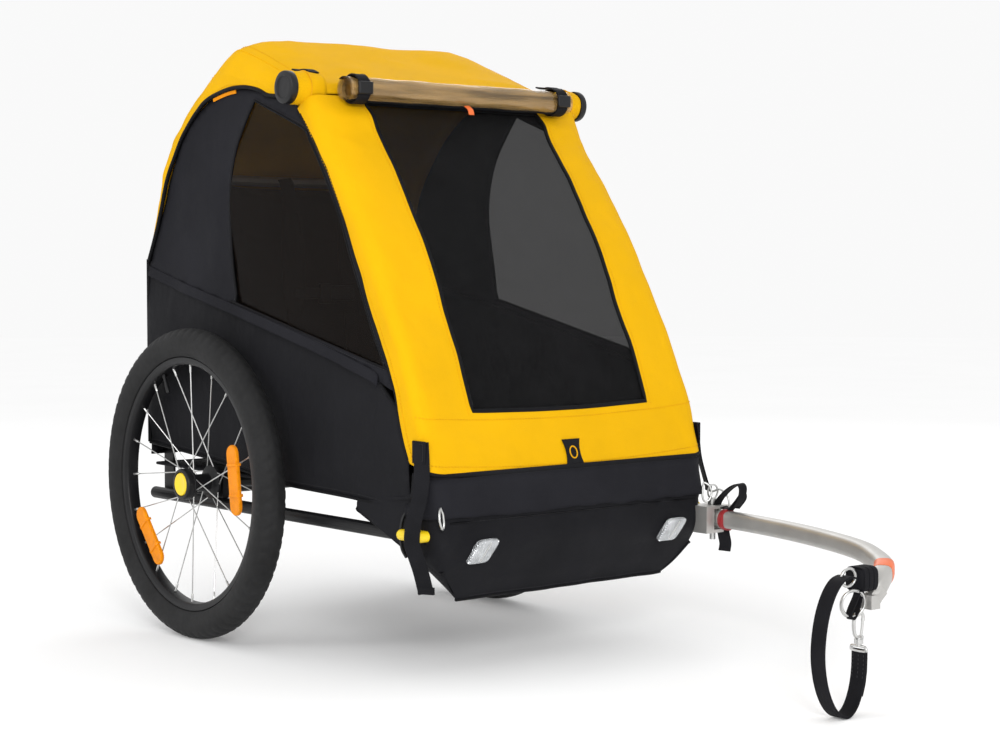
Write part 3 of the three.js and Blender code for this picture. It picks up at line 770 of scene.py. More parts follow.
ROWS = 84
roof_top = resample(ROOF_TOP, ROWS)
piping = resample([*PIPING, (-246, 853)], ROWS)
corner = [(180, 2, 0), (196, 4, 0), (210, 7.5, 0), (224, 12, 0), (238, 17.5, 0), (250, 23.5, 0), (259, 30, 0),
          (265, 38, 0), (268.5, 48, 0), (270, 60, 0)]
columns = across([0, 18, 36, 54, 72, 90, 108, 126, 144, 162], corner, np.linspace(0.1, 1, 12))
grid = wrap(roof_top, piping, columns, 60)
out = normals(grid)
flat_x = np.abs(grid[..., 0])
share = np.linspace(0, 1, ROWS)[:, None]
slack = np.sin(share * math.pi) * (1 - (flat_x / 290) ** 4)
lift = 1.6 * ripple(grid.reshape(-1, 3), 120, 3).reshape(grid.shape[:2]) * (0.35 + slack)
lift += 0.5 * ripple(grid.reshape(-1, 3), 34, 4).reshape(grid.shape[:2])
behind_hoop = np.exp(-(((grid[..., 1] - 80) / 75) ** 2)) * (1 - (flat_x / 275) ** 2)
before_hoop = np.exp(-(((grid[..., 1] + 160) / 50) ** 2)) * (1 - (flat_x / 275) ** 2)
lift -= 7 * np.clip(behind_hoop, 0, 1) + 3.5 * np.clip(before_hoop, 0, 1)
lift = folds(lift, grid, (
    ((-270, 40, 880), (-270, 120, 800), 9, 1.6), ((-270, -40, 905), (-270, -140, 895), 8, 1.8),
    ((-270, -205, 885), (-225, -160, 925), 10, 2.2), ((-270, 140, 745), (-230, 160, 775), 12, 2.0),
    ((-250, -230, 892), (-120, -190, 912), 11, 1.8), ((270, -205, 885), (225, -160, 925), 10, 2.2),
    ((250, -230, 892), (110, -200, 908), 11, 1.6), ((-240, 150, 790), (-80, 172, 740), 14, -2.0),
    ((240, 150, 790), (90, 175, 730), 14, -2.0), ((-150, -235, 890), (30, -225, 897), 9, 1.5),
    ((270, 40, 880), (270, 120, 800), 9, 1.6),
))
edge_fade = np.minimum(1, np.minimum(share, 1 - share) * 14)
sign = np.sign(np.median(out[40, len(columns) // 2, 2]))
out = out * sign
grid = grid + out * (lift * edge_fade)[..., None]
roof = woven("canopy", grid, "yellow_cloth", "frame", "roof")
if sign > 0:
    roof.data.flip_normals()
thick(roof, 2.2, 0)
squash(roof)


def trim(name, path, r, look="piping", body="frame", slot="black_cloth", sides=10, folds=True):
    piece = build(name, *tube(resample(path, 90), r, sides), look, body, slot=slot)
    return squash(piece) if folds else piece


lines = []
middle = len(columns) // 2
for side, s in SIDES.items():
    edge = grid[:, -1 if s > 0 else 0]
    trim(f"roof_piping_{side}", edge[::3] + (s * 0.5, 0, 0), 3.4)
    lines.append((grid[3:-5, -4 if s > 0 else 3] + (s * 1.2, 0, 0), (s, 0, 0)))
    lines.append(raised(grid, out, slice(2, -6), middle + s * 14, 1.3))
lines += [raised(grid, out, row, slice(14, -14), 1.3) for row in (4, 47)]
squash(stitches("roof_thread", lines, "frame", "yellow_thread"))
for side, s in SIDES.items():
    ridge = raised(grid, out, slice(1, -4), middle + s * 15, 0.9)[0]
    trim(f"roof_seam_{side}", ridge[::3], 1.5, "yellow_cloth", slot="yellow_cloth", sides=8)

# ---- front cover ----
dense = resample(COVER_FRONT, 400)
at = np.linspace(0, 1, 400)
share_top = np.interp(-MESH_TOP, -dense[:, 1], at)
share_low = np.interp(-MESH_LOW, -dense[:, 1], at)
shares = np.concatenate([np.linspace(0, share_top, 3), np.linspace(share_top, share_low, 60)[1:],
                         np.linspace(share_low, 1, 15)[1:]])
cover_top = spaced(dense, shares)
cover_low = spaced(resample(COVER_EDGE, 400), shares)
corner = [(x, w, 0) for x, w in ((252, 0), (257, 1.0), (261.5, 3), (265.2, 6), (268, 10), (269.6, 14.5),
                                 (270, 19))]
half = [0, 22, 43, 65, 86, 108, 129, 151, 172, 181, 190, 200, 210, 220, 230, 238, 245]
columns = across(half, corner, np.linspace(0.125, 1, 8))
grid = wrap(cover_top, cover_low, columns, 19)
out = -normals(grid)
if out[30, len(columns) // 2, 1] > 0:
    out = -out
x, z = grid[..., 0], grid[..., 2]
sag = 11 * ease((640 - z) / 320) * (1 - (x / SIDE) ** 2)
lift = 1.1 * ripple(grid.reshape(-1, 3), 95, 11).reshape(x.shape) + 0.5 * ripple(
    grid.reshape(-1, 3), 30, 12).reshape(x.shape)
lift = folds(lift, grid, (
    ((-258, -300, 800), (-215, -330, 760), 9, 2.0), ((258, -300, 800), (215, -330, 760), 9, 2.0),
    ((-262, -470, 560), (-235, -455, 585), 10, 1.6), ((-225, -566, 360), (-120, -571, 345), 10, 1.8),
    ((40, -571, 352), (190, -566, 372), 11, 1.8), ((-250, -575, 330), (-262, -540, 420), 9, -1.6),
    ((225, -548, 400), (252, -570, 330), 10, 1.8), ((-60, -577, 330), (60, -577, 322), 8, 1.2),
))
rows = len(shares)
top_row, low_row = 2, 2 + 59
cols = {c: k for k, c in enumerate(x[0].round(3))}
left_col, right_col = cols[-float(MESH_HALF)], cols[float(MESH_HALF)]
crown = (13.0 * ease((z - 500) / 140) + 11.0 * ease((z - 650) / 130)) * (1 - (x / SIDE) ** 10)
grid = grid + out * (lift + crown * ease((862 - z) / 48))[..., None]
grid[..., 2] -= sag + 5 * ease((400 - grid[..., 2]) / 90)
opening = lambda i, j: top_row <= i < low_row and left_col <= j < right_col
faces = grid_faces(rows, len(columns), skip=opening)
cover = build("cover_cloth", grid.reshape(-1, 3), faces, "yellow_cloth", "front_cover", "cover_frame")
cover.data.flip_normals()
thick(cover, 2.4, 0)
modifier(cover, "SUBSURF", levels=1, render_levels=1, boundary_smooth="PRESERVE_CORNERS")

window = grid[top_row:low_row + 1, left_col:right_col + 1]
n_rows, n_cols = 61, 49
u = spaced(window[0], np.linspace(0, 1, n_cols))
net = np.zeros((n_rows, n_cols, 3))
for k in range(n_cols):
    where = np.interp(u[k, 0], window[0, :, 0], np.arange(window.shape[1]))
    low, high = int(where), min(int(where) + 1, window.shape[1] - 1)
    column = window[:, low] * (1 - where % 1) + window[:, high] * (where % 1)
    net[:, k] = resample(column, n_rows)
dip = np.sin(np.linspace(0, math.pi, n_rows))[:, None] * np.sin(np.linspace(0, math.pi, n_cols))[None, :]
net_out = normals(net)
net_out *= np.sign(-net_out[30, 24, 1])
slack = ripple(net.reshape(-1, 3), 110, 21).reshape(dip.shape)
net = net - net_out * (3.0 * dip + 1.6 + 1.2 * dip * slack)[..., None]
mesh_sheet = woven("net", net, "netting", "front_cover", "cover_mesh")

# Binding round the mesh, hems and stitching on the cover.
lines = []
ring_path = np.vstack([window[0], window[1:, -1], window[-1, ::-1][1:], window[::-1, 0][1:-1]])
ring_out = np.vstack([
    out[top_row, left_col:right_col + 1], out[top_row + 1:low_row + 1, right_col],
    out[low_row, left_col:right_col + 1][::-1][1:], out[top_row:low_row + 1, left_col][::-1][1:-1],
])
bound = sweep(ring_path + ring_out * 0.2, flat(6.5, 3.6), side=unit(np.cross(
    unit(np.roll(ring_path, -1, 0) - np.roll(ring_path, 1, 0)), ring_out)), closed=True)
build("mesh_binding", *bound, "piping", "front_cover")
for j in (left_col - 1, right_col + 1):
    lines.append(raised(grid, out, slice(top_row, low_row + 2), j, 1.4))
lines += [raised(grid, out, i, slice(9, -9), 1.4) for i in (low_row + 2, rows - 3)]
lines += [raised(grid, out, slice(2, -2), j, 1.4) for j in (3, -4)]
stitches("cover_thread", lines, "front_cover", "yellow_thread")
trim("cover_hem", grid[-1, 7:-7][::2] + (0, 0, 0.5), 2.8, "piping", "front_cover", folds=False)
for side, s in SIDES.items():
    edge = grid[2:, -1 if s > 0 else 0]
    trim(f"cover_piping_{side}", edge[::2], 2.3, "piping", "front_cover", folds=False)

# A plain woven label under the mesh, waisted at the middle, with a plain ring on it.
where = grid.reshape(-1, 3)
where = where[np.linalg.norm((where - (0, 0, 324))[:, [0, 2]], axis=1) < 40]
plane = np.linalg.lstsq(np.column_stack([where[:, [0, 2]], np.ones(len(where))]), where[:, 1], rcond=None)[0]
label = []
for v in np.linspace(-1, 1, 9):
    for u_ in np.linspace(-1, 1, 9):
        x_, z_ = u_ * 18 * (0.76 + 0.24 * v * v), 324 + v * 19
        label.append((x_, plane @ (x_, z_, 1) - 3.0, z_))
piece = build("label", label, grid_faces(9, 9), "black_cloth", "front_cover")
thick(piece, 1.2, 0)
mark = [(7 * math.cos(a), 324 + 8.5 * math.sin(a)) for a in around(40)]
mark = [(x_, plane @ (x_, z_, 1) - 3.8, z_) for x_, z_ in mark]
build("label_mark", *tube(mark, 1.1, 8, closed=True), "yellow_thread", "front_cover")

# ---- cabin sides: lower cloth, upper cloth, window ----
def distance(points, line):
    """How far points in a plane are from an open line."""
    p, line = np.asarray(points, float), np.asarray(line, float)
    best = np.full(len(p), np.inf)
    for a, b in zip(line, line[1:]):
        t = np.clip((p - a) @ (b - a) / max((b - a) @ (b - a), 1e-9), 0, 1)
        best = np.minimum(best, np.linalg.norm(p - a - t[:, None] * (b - a), axis=1))
    return best


def flat_ripple(points, wavelength, seed):
    return ripple(np.column_stack([points, points[:, 0] * 0]), wavelength, seed)


def moved(outline, dy, dz=0.0):
    return [(y + dy, z + dz) for y, z in outline]


EDGE_BACK = resample(COVER_EDGE, 30)
split = int(np.searchsorted(-EDGE_BACK[:, 1], -427))
pane_front = [tuple(p) for p in moved(EDGE_BACK[2:split], 14) if p[1] > 455]
PANE = np.array([*resample(WINDOW_REAR[1:], 24), (-88, 538.5), (-456, 455.5), *pane_front[::-1]])
upper = np.array([*moved(resample(PIPING, 50), -0.5, -1), *moved(EDGE_BACK[:split + 1], 1.5),
                  *resample(SEAM, 24)[::-1][3:]])
seam_line = resample(SEAM, 60)
tub = np.array([*moved(seam_line, 0, 0.5), *moved(EDGE_BACK[split + 3:], 1.5),
                *resample(TUB_BOTTOM, 30)[::-1]])


def panel(name, outline, spacing, look, s, shape, replaces, hole=None):
    flat_points, faces = patch(outline, spacing, hole)
    x = shape(flat_points)
    points = np.column_stack([s * x, flat_points])
    return face(build(name, points, faces, look, "frame", replaces), 0, s)


def upper_shape(p):
    hem = np.exp(-((distance(p, np.vstack([PANE, PANE[:1]])) / 7) ** 2))
    above = distance(p, seam_line)
    band = np.exp(-(((above - 9) / 7.5) ** 2)) * ease((130 - p[:, 0]) / 60)
    x = SIDE - 2.5 + 0.9 * hem + 4.2 * band
    quiet = ease(above / 60)
    x += quiet * 1.6 * flat_ripple(p, 130, 31)
    return folds(x, p, (
        ((190, 610), (60, 700), 16, 1.8), ((150, 700), (-20, 840), 14, -1.6),
        ((0, 560), (-40, 850), 20, 1.4), ((60, 600), (100, 760), 18, 1.5),
    ))


def tub_shape(p):
    edge = distance(p, seam_line)
    low = distance(p, resample(TUB_BOTTOM, 30))
    belly = ease(edge / 90) * ease(low / 70)
    x = SIDE - 3 + 4.5 * belly + 1.8 * belly * flat_ripple(p, 150, 32)
    x += 1.2 * np.exp(-((low / 6) ** 2))
    return folds(x, p, (
        ((-330, 470), (-180, 280), 24, 2.0), ((-470, 420), (-400, 270), 20, 1.8),
        ((-60, 520), (-20, 300), 26, -1.6), ((120, 550), (160, 320), 22, 1.6),
        ((-505, 380), (-430, 300), 12, 1.8), ((-260, 290), (-420, 300), 14, 1.2),
    ))


def on_side(s, shape, line, rise):
    """A line in the plane of a side, laid on the side's cloth and raised off it."""
    return np.column_stack([s * (shape(line) + rise), line])


def film_shape(p):
    return SIDE - 2.2 + 1.5 * flat_ripple(p, 260, 33)


for side, s in SIDES.items():
    piece = panel(f"upper_side_{side}", upper, 11, "grey_cloth", s, upper_shape, f"side_panel_{side}", PANE)
    squash(thick(piece, 1.6, 0))
    grown = PANE + unit(PANE - PANE.mean(0)) * 1.5
    film = panel(f"window_{side}", grown, 14, "window_film", s, film_shape, f"side_window_{side}")
    squash(film)
    piece = panel(f"lower_side_{side}", tub, 11, "black_cloth", s, tub_shape, f"tub_side_{side}")
    squash(thick(piece, 1.6, 0))
    part = resample([*SEAM[:5], (-455, 433)], 70)
    rows = []
    for t in np.linspace(0, 1, 6):
        line = part + (0, 9 - 17 * t)
        lip = 1.2 + 3.6 * t**2 * (0.75 + 0.25 * flat_ripple(part, 50, 34))
        rows.append(np.column_stack([s * (upper_shape(part + (0, 9)) + lip), line]))
    flap = build(f"seam_flap_{side}", np.vstack(rows), grid_faces(6, 70), "grey_cloth", "frame")
    squash(thick(flap, 1.4, 0))
    loop = PANE + unit(PANE - PANE.mean(0)) * 5
    loop = resample(np.vstack([loop, loop[:1]]), 160)
    lines = [(on_side(s, upper_shape, loop, 1.1), (s, 0, 0))]
    for line in (seam_line[2:-3] - (0, 6), resample(TUB_BOTTOM, 60)[1:-1] + (0, 7)):
        lines.append((on_side(s, tub_shape, line, 1.1), (s, 0, 0)))
    squash(stitches(f"side_thread_{side}", lines, "frame"))
    rib = np.column_stack([s * (tub_shape(seam_line) + 0.6), seam_line + (0, -1.5)])
    trim(f"seam_piping_{side}", rib, 1.9)
    hem = resample(TUB_BOTTOM, 40)
    trim(f"tub_hem_{side}", on_side(s, tub_shape, hem, 0.2), 2.6)
    loop = np.vstack([PANE, PANE[:1]])
    trim(f"window_binding_{side}", on_side(s, upper_shape, loop, 0.3), 1.7)
    trim(f"rear_piping_{side}", [(s * 266, 205, z) for z in np.linspace(302, 611, 12)], 3.4)

    vent = [(s * 268.4, y, z - 6) for y, z in resample(PIPING, 60) if -84 < y < -6]
    squash(build(f"vent_pull_{side}", *strip(vent, 20, 6, 1.6, (0, 0.2, 1)), "orange_cloth", "frame"))

# ---- rear panel ----
xs, zs = np.linspace(-264, 264, 45), np.linspace(283, 609, 33)
gx, gz = np.meshgrid(xs, zs)
belly = (1 - (gx / 264) ** 2) * np.sin((gz - 283) / 326 * math.pi)
flat3 = np.column_stack([gx.ravel(), gx.ravel() * 0, gz.ravel()])
gy = 203 + 3.0 * belly + 1.6 * belly * ripple(flat3, 140, 41).reshape(gx.shape)
gy = folds(gy, np.stack([gx, gz], -1), (
    ((-230, 560), (-60, 420), 18, 1.6), ((230, 570), (80, 400), 18, 1.6), ((-180, 300), (160, 310), 16, 1.2),
))
rear = np.stack([gx, gy, gz], -1)
piece = woven("rear_cloth", rear, "black_cloth", "frame", "rear_panel")
face(piece, 1, 1)
squash(thick(piece, 1.6, 0))
lines = [(rear[i, 1:-1] + (0, 1.0, 0), (0, 1, 0)) for i in (2, -3)]
lines += [(rear[1:-1, j] + (0, 1.0, 0), (0, 1, 0)) for j in (1, 22, -2)]
squash(stitches("rear_thread", lines, "frame"))
trim("rear_hem", rear[0, ::3], 2.6)
trim("rear_top_piping", rear[-1, ::3] + (0, 2.5, 0), 3.0)
trim("rear_seam", rear[1:-1, 22][::3] + (0, 0.5, 0), 1.6)

# ---- front bag: front panel, its sides and the footwell's bottom ----
FRONT = [(122, -553), (150, -566), (176, -576.5), (203, -588.5), (225, -591), (262, -589), (308, -582)]
HALF = [(122, 204), (133, 213), (150, 230), (166, 246), (183, 261), (192, 266), (215, 268), (308, 268)]
REAR = [(122, -552), (150, -564), (166, -567), (184, -544), (201, -503), (244, -398), (262, -398),
        (269, -529), (308, -534)]
levels = [308, 300, 290, 280, 270, 262, 256, 250, 244, 238, 232, 224, 216, 208, 200, 191, 183, 174, 166, 158, 150,
          141, 133, 127, 122]
at_height = lambda table, z: float(np.interp(z, *np.array(sorted(table)).T))
bag = []
for z in levels:
    front, half, rear_y = (at_height(t, z) for t in (FRONT, HALF, REAR))
    back = max(rear_y, front + 1)
    r = min(26, (back - front) * 0.7, 30)
    side_pts = [(half, back + (front + r - back) * t) for t in np.linspace(0, 1, 9)[:-1]]
    turn_pts = [(half - r + r * math.cos(a), front + r - r * math.sin(a))
                for a in np.linspace(0, math.pi / 2, 7)]
    across_pts = [((half - r) * t, front) for t in np.linspace(1, 0, 20)[1:]]
    halves = side_pts + turn_pts + across_pts
    row = [(-px, py, z) for px, py in halves] + [(px, py, z) for px, py in halves[::-1][1:]]
    bag.append(row)
bag = np.array(bag)
x, yy, z = bag[..., 0], bag[..., 1], bag[..., 2]
hidden = (yy > -530) & (z > 258)
bag[..., 0] -= np.sign(x) * hidden * 5
bag_out = normals(bag)
bag_out *= np.sign(-bag_out[12, bag.shape[1] // 2, 1])
facing = ease((-yy - 560) / 20)
lift = facing * (3.0 * np.exp(-(((z - 192) / 20) ** 2)) - 4.5 * np.exp(-(((z - 229) / 10) ** 2)))
lift += 1.3 * ripple(bag.reshape(-1, 3), 90, 51).reshape(x.shape) * ease((305 - z) / 25)
lift += 0.5 * ripple(bag.reshape(-1, 3), 32, 52).reshape(x.shape)
lift = folds(lift, bag, (
    ((-258, -580, 150), (-150, -590, 232), 8, 5.0), ((-252, -582, 165), (-190, -590, 240), 6, -4.0),
    ((-262, -585, 195), (-200, -590, 250), 7, 4.0), ((-238, -575, 150), (-214, -590, 205), 6, 3.6),
    ((-230, -575, 140), (-120, -585, 165), 8, 3.0), ((262, -585, 160), (170, -590, 240), 9, 4.2),
    ((258, -585, 205), (190, -590, 245), 7, -3.6), ((-160, -590, 258), (150, -590, 262), 6, 3.0),
    ((-150, -575, 146), (150, -575, 152), 9, 3.2), ((-110, -588, 205), (60, -588, 214), 8, 2.4),
    ((-268, -560, 290), (-268, -450, 215), 10, 2.6), ((-266, -520, 200), (-266, -560, 260), 9, 2.2),
    ((266, -520, 200), (266, -560, 260), 9, 2.2),
))
bag = bag + bag_out * lift[..., None]
piece = woven("front_bag", bag, "black_cloth", "frame", "front_panel")
face(piece, 1, -1)
modifier(thick(piece, 1.8, 0), "SUBSURF", levels=1, render_levels=1, boundary_smooth="PRESERVE_CORNERS")
rows_in = [k for k, z_ in enumerate(levels) if 240 <= z_ <= 300]
flap = bag[rows_in, 6:-6] + bag_out[rows_in, 6:-6] * 2.4
low_edge = ripple(flap[-1] * (1, 0, 0), 45, 55)
for k in range(len(rows_in)):
    t = k / (len(rows_in) - 1)
    flap[k] += bag_out[rows_in[k], 6:-6] * (2.6 * t**3 * (1.2 + low_edge))[:, None]
    flap[k, :, 2] += 2.5 * t * low_edge
piece = woven("bag_flap", flap, "grey_cloth")
face(piece, 1, -1)
thick(piece, 1.8, 0)
edge_rows = {z_: k for k, z_ in enumerate(levels)}
lines = [raised(bag, bag_out, edge_rows[z_], slice(16, -16), 1.4) for z_ in (300, 238, 127)]
stitches("bag_thread", lines, "frame")
trim("bag_seam", raised(bag, bag_out, edge_rows[238], slice(14, -14, 2), 0.3)[0], 1.5, folds=False)
trim("bag_hem", bag[-1, 2:-2][::3], 2.6, folds=False)

well = []
for t in np.linspace(-0.12, 1, 17):
    u_ = max(t, 0)
    e_z = 246 + (166 - 246) * u_
    e = (at_height(HALF, e_z) - 0.5, at_height(REAR, e_z) if t < 1 else -575, e_z)
    b = (228 + (204 - 228) * u_, -412 + (-552 + 412) * u_, 234 + (123 - 234) * u_)
    if t < 0:
        up = -t / 0.12
        e, b = (264, -406 + 8 * up, 246 + 14 * up), (238, -412 + 13 * up, 234 + 31 * up)
    half_row = [np.array(e) * (1 - k) + np.array(b) * k + (0, 0, -3.0 * math.sin(k * math.pi)) for k in
                np.linspace(0, 1, 8)]
    half_row += [np.array((b[0] * (1 - k), b[1], b[2] - 3 * math.sin(k * math.pi / 2) * math.sin(t * math.pi)))
                 for k in np.linspace(0, 1, 13)[1:]]
    well.append([p * (-1, 1, 1) for p in half_row] + half_row[::-1][1:])
well = np.array(well)
well[..., 2] += 1.0 * ripple(well.reshape(-1, 3), 80, 53).reshape(well.shape[:2])
piece = woven("footwell_skin", well, "black_cloth", "frame", "footwell")
face(piece, 2, -1)
thick(piece, 1.8, 0)
for side, s in SIDES.items():
    trim(f"well_binding_{side}", well[:, -1 if s > 0 else 0], 2.0, folds=False)

# Floor of the cabin: a stiffened cloth floor with a bound edge.
xs, ys = np.linspace(-261, 261, 31), np.linspace(-400, 190, 37)
gx, gy = np.meshgrid(xs, ys)
dip = (1 - (gx / 261) ** 2) * np.sin((gy + 400) / 590 * math.pi)
floor_grid = np.stack([gx, gy, 267 - 2.2 * dip], -1)
piece = woven("floor_cloth", floor_grid, "black_cloth", "frame", "floor_pan")
thick(piece, 2.5, -1)
rim_line = np.vstack([floor_grid[0], floor_grid[1:, -1], floor_grid[-1, ::-1][1:], floor_grid[::-1, 0][1:-1]])
build("floor_binding", *tube(rim_line - (0, 0, 1), 2.6, 8, closed=True), "webbing", "frame")

# ---- front reflectors: prisms in a slanted case that leans with the panel ----
for side, s in SIDES.items():
    middle_of = np.array([s * 188, -592.4, 195])
    up, ahead = np.array([7.0 / 18, -0.40, 0.917]), np.array([0, -0.917, -0.40])
    loops = []
    for inset, depth in ((0.6, -2.5), (0, -1.0), (0, 3.2), (1.2, 4.6), (3.0, 5.0)):
        corners = [squared(a, 0.35) for a in around(40)]
        loops.append([middle_of + (c * (19.5 - inset), 0, 0) + up * sn * (18.5 - inset) + ahead * depth
                      for c, sn in corners])
    build(f"front_lens_{side}", *shell(loops), "silver_reflector", "frame", f"front_reflector_{side}")
    bar = [middle_of + (2.5, 0, 0) + up * rise + ahead * 5.0 for rise in np.linspace(-15, 15, 9)]
    build(f"lens_rib_{side}", *tube(bar, 1.1, 8), "steel", "frame", slot="silver_reflector")

# ---- rolled weather shield, its straps, the crossbar with its sleeves and caps ----
TURNS = 2.6
LAYERS = 150
a = np.linspace(0, TURNS * 2 * math.pi, LAYERS)
rows = []
for x_ in np.linspace(-221, 221, 60):
    r = 13.5 + 7.2 * a / a[-1]
    tight = np.exp(-(((abs(x_) - BAND_X) / 14) ** 2))
    wave = ripple(np.column_stack([np.full(LAYERS, x_ * 0.7), 24 * np.cos(a), 24 * np.sin(a)]), 60, 61)
    r = r * (1 - 0.10 * tight) + 0.9 * wave * (1 - tight)
    rows.append(np.column_stack([np.full(LAYERS, x_), ROLL[0] + r * np.cos(a + 0.6),
                                 ROLL[1] + 0.93 * r * np.sin(a + 0.6)]))
roll = np.array(rows)
piece = woven("shield_roll", roll, "clear_vinyl", "front_cover", "weather_shield_roll")
trim("shield_hem", roll[::2, -1], 2.0, "piping", "front_cover", slot="webbing", folds=False)
core = [(x_, ROLL[0], ROLL[1]) for x_ in np.linspace(-212, 212, 30)]
build("shield_core", *tube(core, 11.5, 20), "amber_film", "front_cover")
for side, s in SIDES.items():
    a = around(59)
    wrap_path = np.column_stack([np.full(59, s * BAND_X), ROLL[0] + 22.6 * np.cos(a),
                                 ROLL[1] + 21.5 * np.sin(a)])
    band = sweep(wrap_path, flat(22, 2.4), side=(1, 0, 0), closed=True)
    tab = [(s * BAND_X, ROLL[0] + along, ROLL[1] + up) for along, up in ((14, 18), (22, 19.5), (30, 17))]
    pieces = joined([band, strip(tab, 12, 22, 2.2, (1, 0, 0))])
    build(f"roll_band_{side}", *pieces, "webbing", "front_cover", f"roll_strap_{side}")
    buckle = rounded_box((s * BAND_X - 13, ROLL[0] - 26.5, ROLL[1] - 9),
                         (s * BAND_X + 13, ROLL[0] - 21, ROLL[1] + 10), 2)
    build(f"roll_buckle_{side}", *buckle, "black_plastic", "front_cover")
    threads = [(wrap_path[4:26] + (dx, 0, 0), unit(wrap_path[4:26] - (s * BAND_X, *ROLL))) for dx in (-9, 9)]
    threads = [(l + o * 1.4, o) for l, o in threads]
    stitches(f"roll_thread_{side}", threads, "front_cover", pitch=4)
tabs = []
for x_ in (-246, 246):
    path = [(x_, -262, 892), (x_, -246, 897.5), (x_, -228, 897), (x_, -214, 900)]
    tabs.append(strip(path, 16, 18, 2.4, (1, 0, 0)))
squash(build("roof_tabs", *joined(tabs), "webbing", "frame"))
pull = [(0, ROLL[0] - 18, ROLL[1] - 17), (1, ROLL[0] - 26, ROLL[1] - 23), (1, ROLL[0] - 29, ROLL[1] - 31)]
build("pull_tab", *strip(pull, 12, 11, 1.8, (1, 0, 0)), "orange_plastic", "front_cover")

xs = np.concatenate([np.linspace(-284, -232, 30), np.linspace(-224, 224, 30), np.linspace(232, 284, 30)])
a = around(48)
rows = []
for x_ in xs:
    end = abs(x_)
    r = 11.5
    if end >= 228:
        r = 25.2 + 0.8 * math.cos((end - 258) / 26 * 4) - 2.5 * ease((238 - end) / 6) - 1.8 * ease((end - 279) / 5)
    at_x = np.full(48, x_)
    puffed = r + 0.8 * ripple(np.column_stack([at_x, 25 * np.cos(a), 25 * np.sin(a)]), 26, 71) * (r > 15)
    rows.append(np.column_stack([at_x, CROSSBAR[0] + puffed * np.cos(a), CROSSBAR[1] + puffed * np.sin(a)]))
build("crossbar_bar", *shell(rows), "yellow_cloth", "cage", "crossbar")
CAP = [(0, -0.5), (24.5, -0.5), (25.2, 0.5), (25.2, 8.4), (24.4, 10.6), (22.2, 11.7), (17.5, 11.9), (16.6, 11.2),
       (15.8, 10.2), (6, 10.0), (0, 10.2)]
for side, s in SIDES.items():
    build(f"cap_{side}", *lathe(CAP, 64, (s * 285.4, *CROSSBAR), s, closed=False), "black_plastic", "cage",
          f"crossbar_cap_{side}")
    seam = [(s * 262, CROSSBAR[0] + 26.6 * math.cos(a), CROSSBAR[1] + 26.6 * math.sin(a)) for a in around(59)]
    build(f"sleeve_seam_{side}", *tube(seam, 0.9, 8, closed=True), "yellow_thread", "cage")

# ---- corner pins, straps and buckles ----
for side, s in SIDES.items():
    loops = []
    for inset, x_ in ((1.0, 268.6), (0, 269.6), (0, 284), (0.6, 287), (2.2, 289.6), (5, 291.2), (7, 291.6)):
        half = 8.0 - inset
        reach = (10, -28 if s < 0 else -10) if inset < 6.9 else (0, 0)  # the near head shows past its strap
        loops.append([(s * x_, -540 + half * math.cos(a) + reach[math.cos(a) <= 0], 220 + half * math.sin(a))
                      for a in around(36)])
    shaft = tube([(s * 233, -540, 220), (s * 235, -540, 220), (s * 269, -540, 220)], 5, 20)
    pieces = joined([shell(loops), shaft])
    build(f"pin_head_{side}", *pieces, "yellow_plastic", f"corner_pin_{side}", f"corner_pin_{side}")
    bracket = []
    for y in (-557.5, -522.5):
        path = mirrored(s, [(270, y, 250), (277, y, 240), (280, y, 221), (278, y, 200), (270, y, 186)])
        bracket.append(strip(path, 20, 4, 5, (0, 1, 0)))
    build(f"buckle_frame_{side}", *joined(bracket), "black_plastic", "frame")
    tail = mirrored(s, [
        (273, -560, 352), (274, -563, 330), (276, -566, 300), (283, -569, 272), (292.5, -570, 246),
        (296, -570, 228), (296.5, -570, 212), (293, -573, 196), (287, -578, 172), (281, -582, 142),
    ])
    tail = resample(tail if s < 0 else tail[:5], 50)
    build(f"corner_strap_{side}", *sweep(tail, flat(24, 2.2), side=(-s * 0.5, -0.87, 0)), "webbing", "frame")
    tip = [tail[-1] + (0, 0, dz) for dz in (9, 5, -1)]
    build(f"corner_tip_{side}", *sweep(tip, flat(24.5, 5), side=(-s * 0.5, -0.87, 0)), "webbing", "frame")
    near, far = sorted((s * 271.2, s * 274.4))
    hem_box = rounded_box((near, -570, 322), (far, -541, 354), 1.0)
    build(f"strap_tab_{side}", *hem_box, "webbing", "front_cover")
    square = [(-567, 326), (-567, 350), (-544, 350), (-544, 326), (-567, 326)]
    path = np.array([(s * 274.9, a, b) for a, b in spaced(square, np.linspace(0, 1, 60))])
    stitches(f"tab_thread_{side}", [(path, (s, 0, 0))], "front_cover", pitch=3.5)
    wire = mirrored(s, [(262, -590, 262), (268, -596, 256), (270, -599, 245), (266, -598, 235),
                        (260, -594, 232), (257, -592, 240), (258, -591, 254)])
    build(f"corner_hook_{side}", *tube(resample(wire, 40), 1.6, 10, closed=True), "steel", "frame")

# ---- seat: cushions blown up by a cloth simulation, piping and harness ----
SWELL_FRAMES = 16


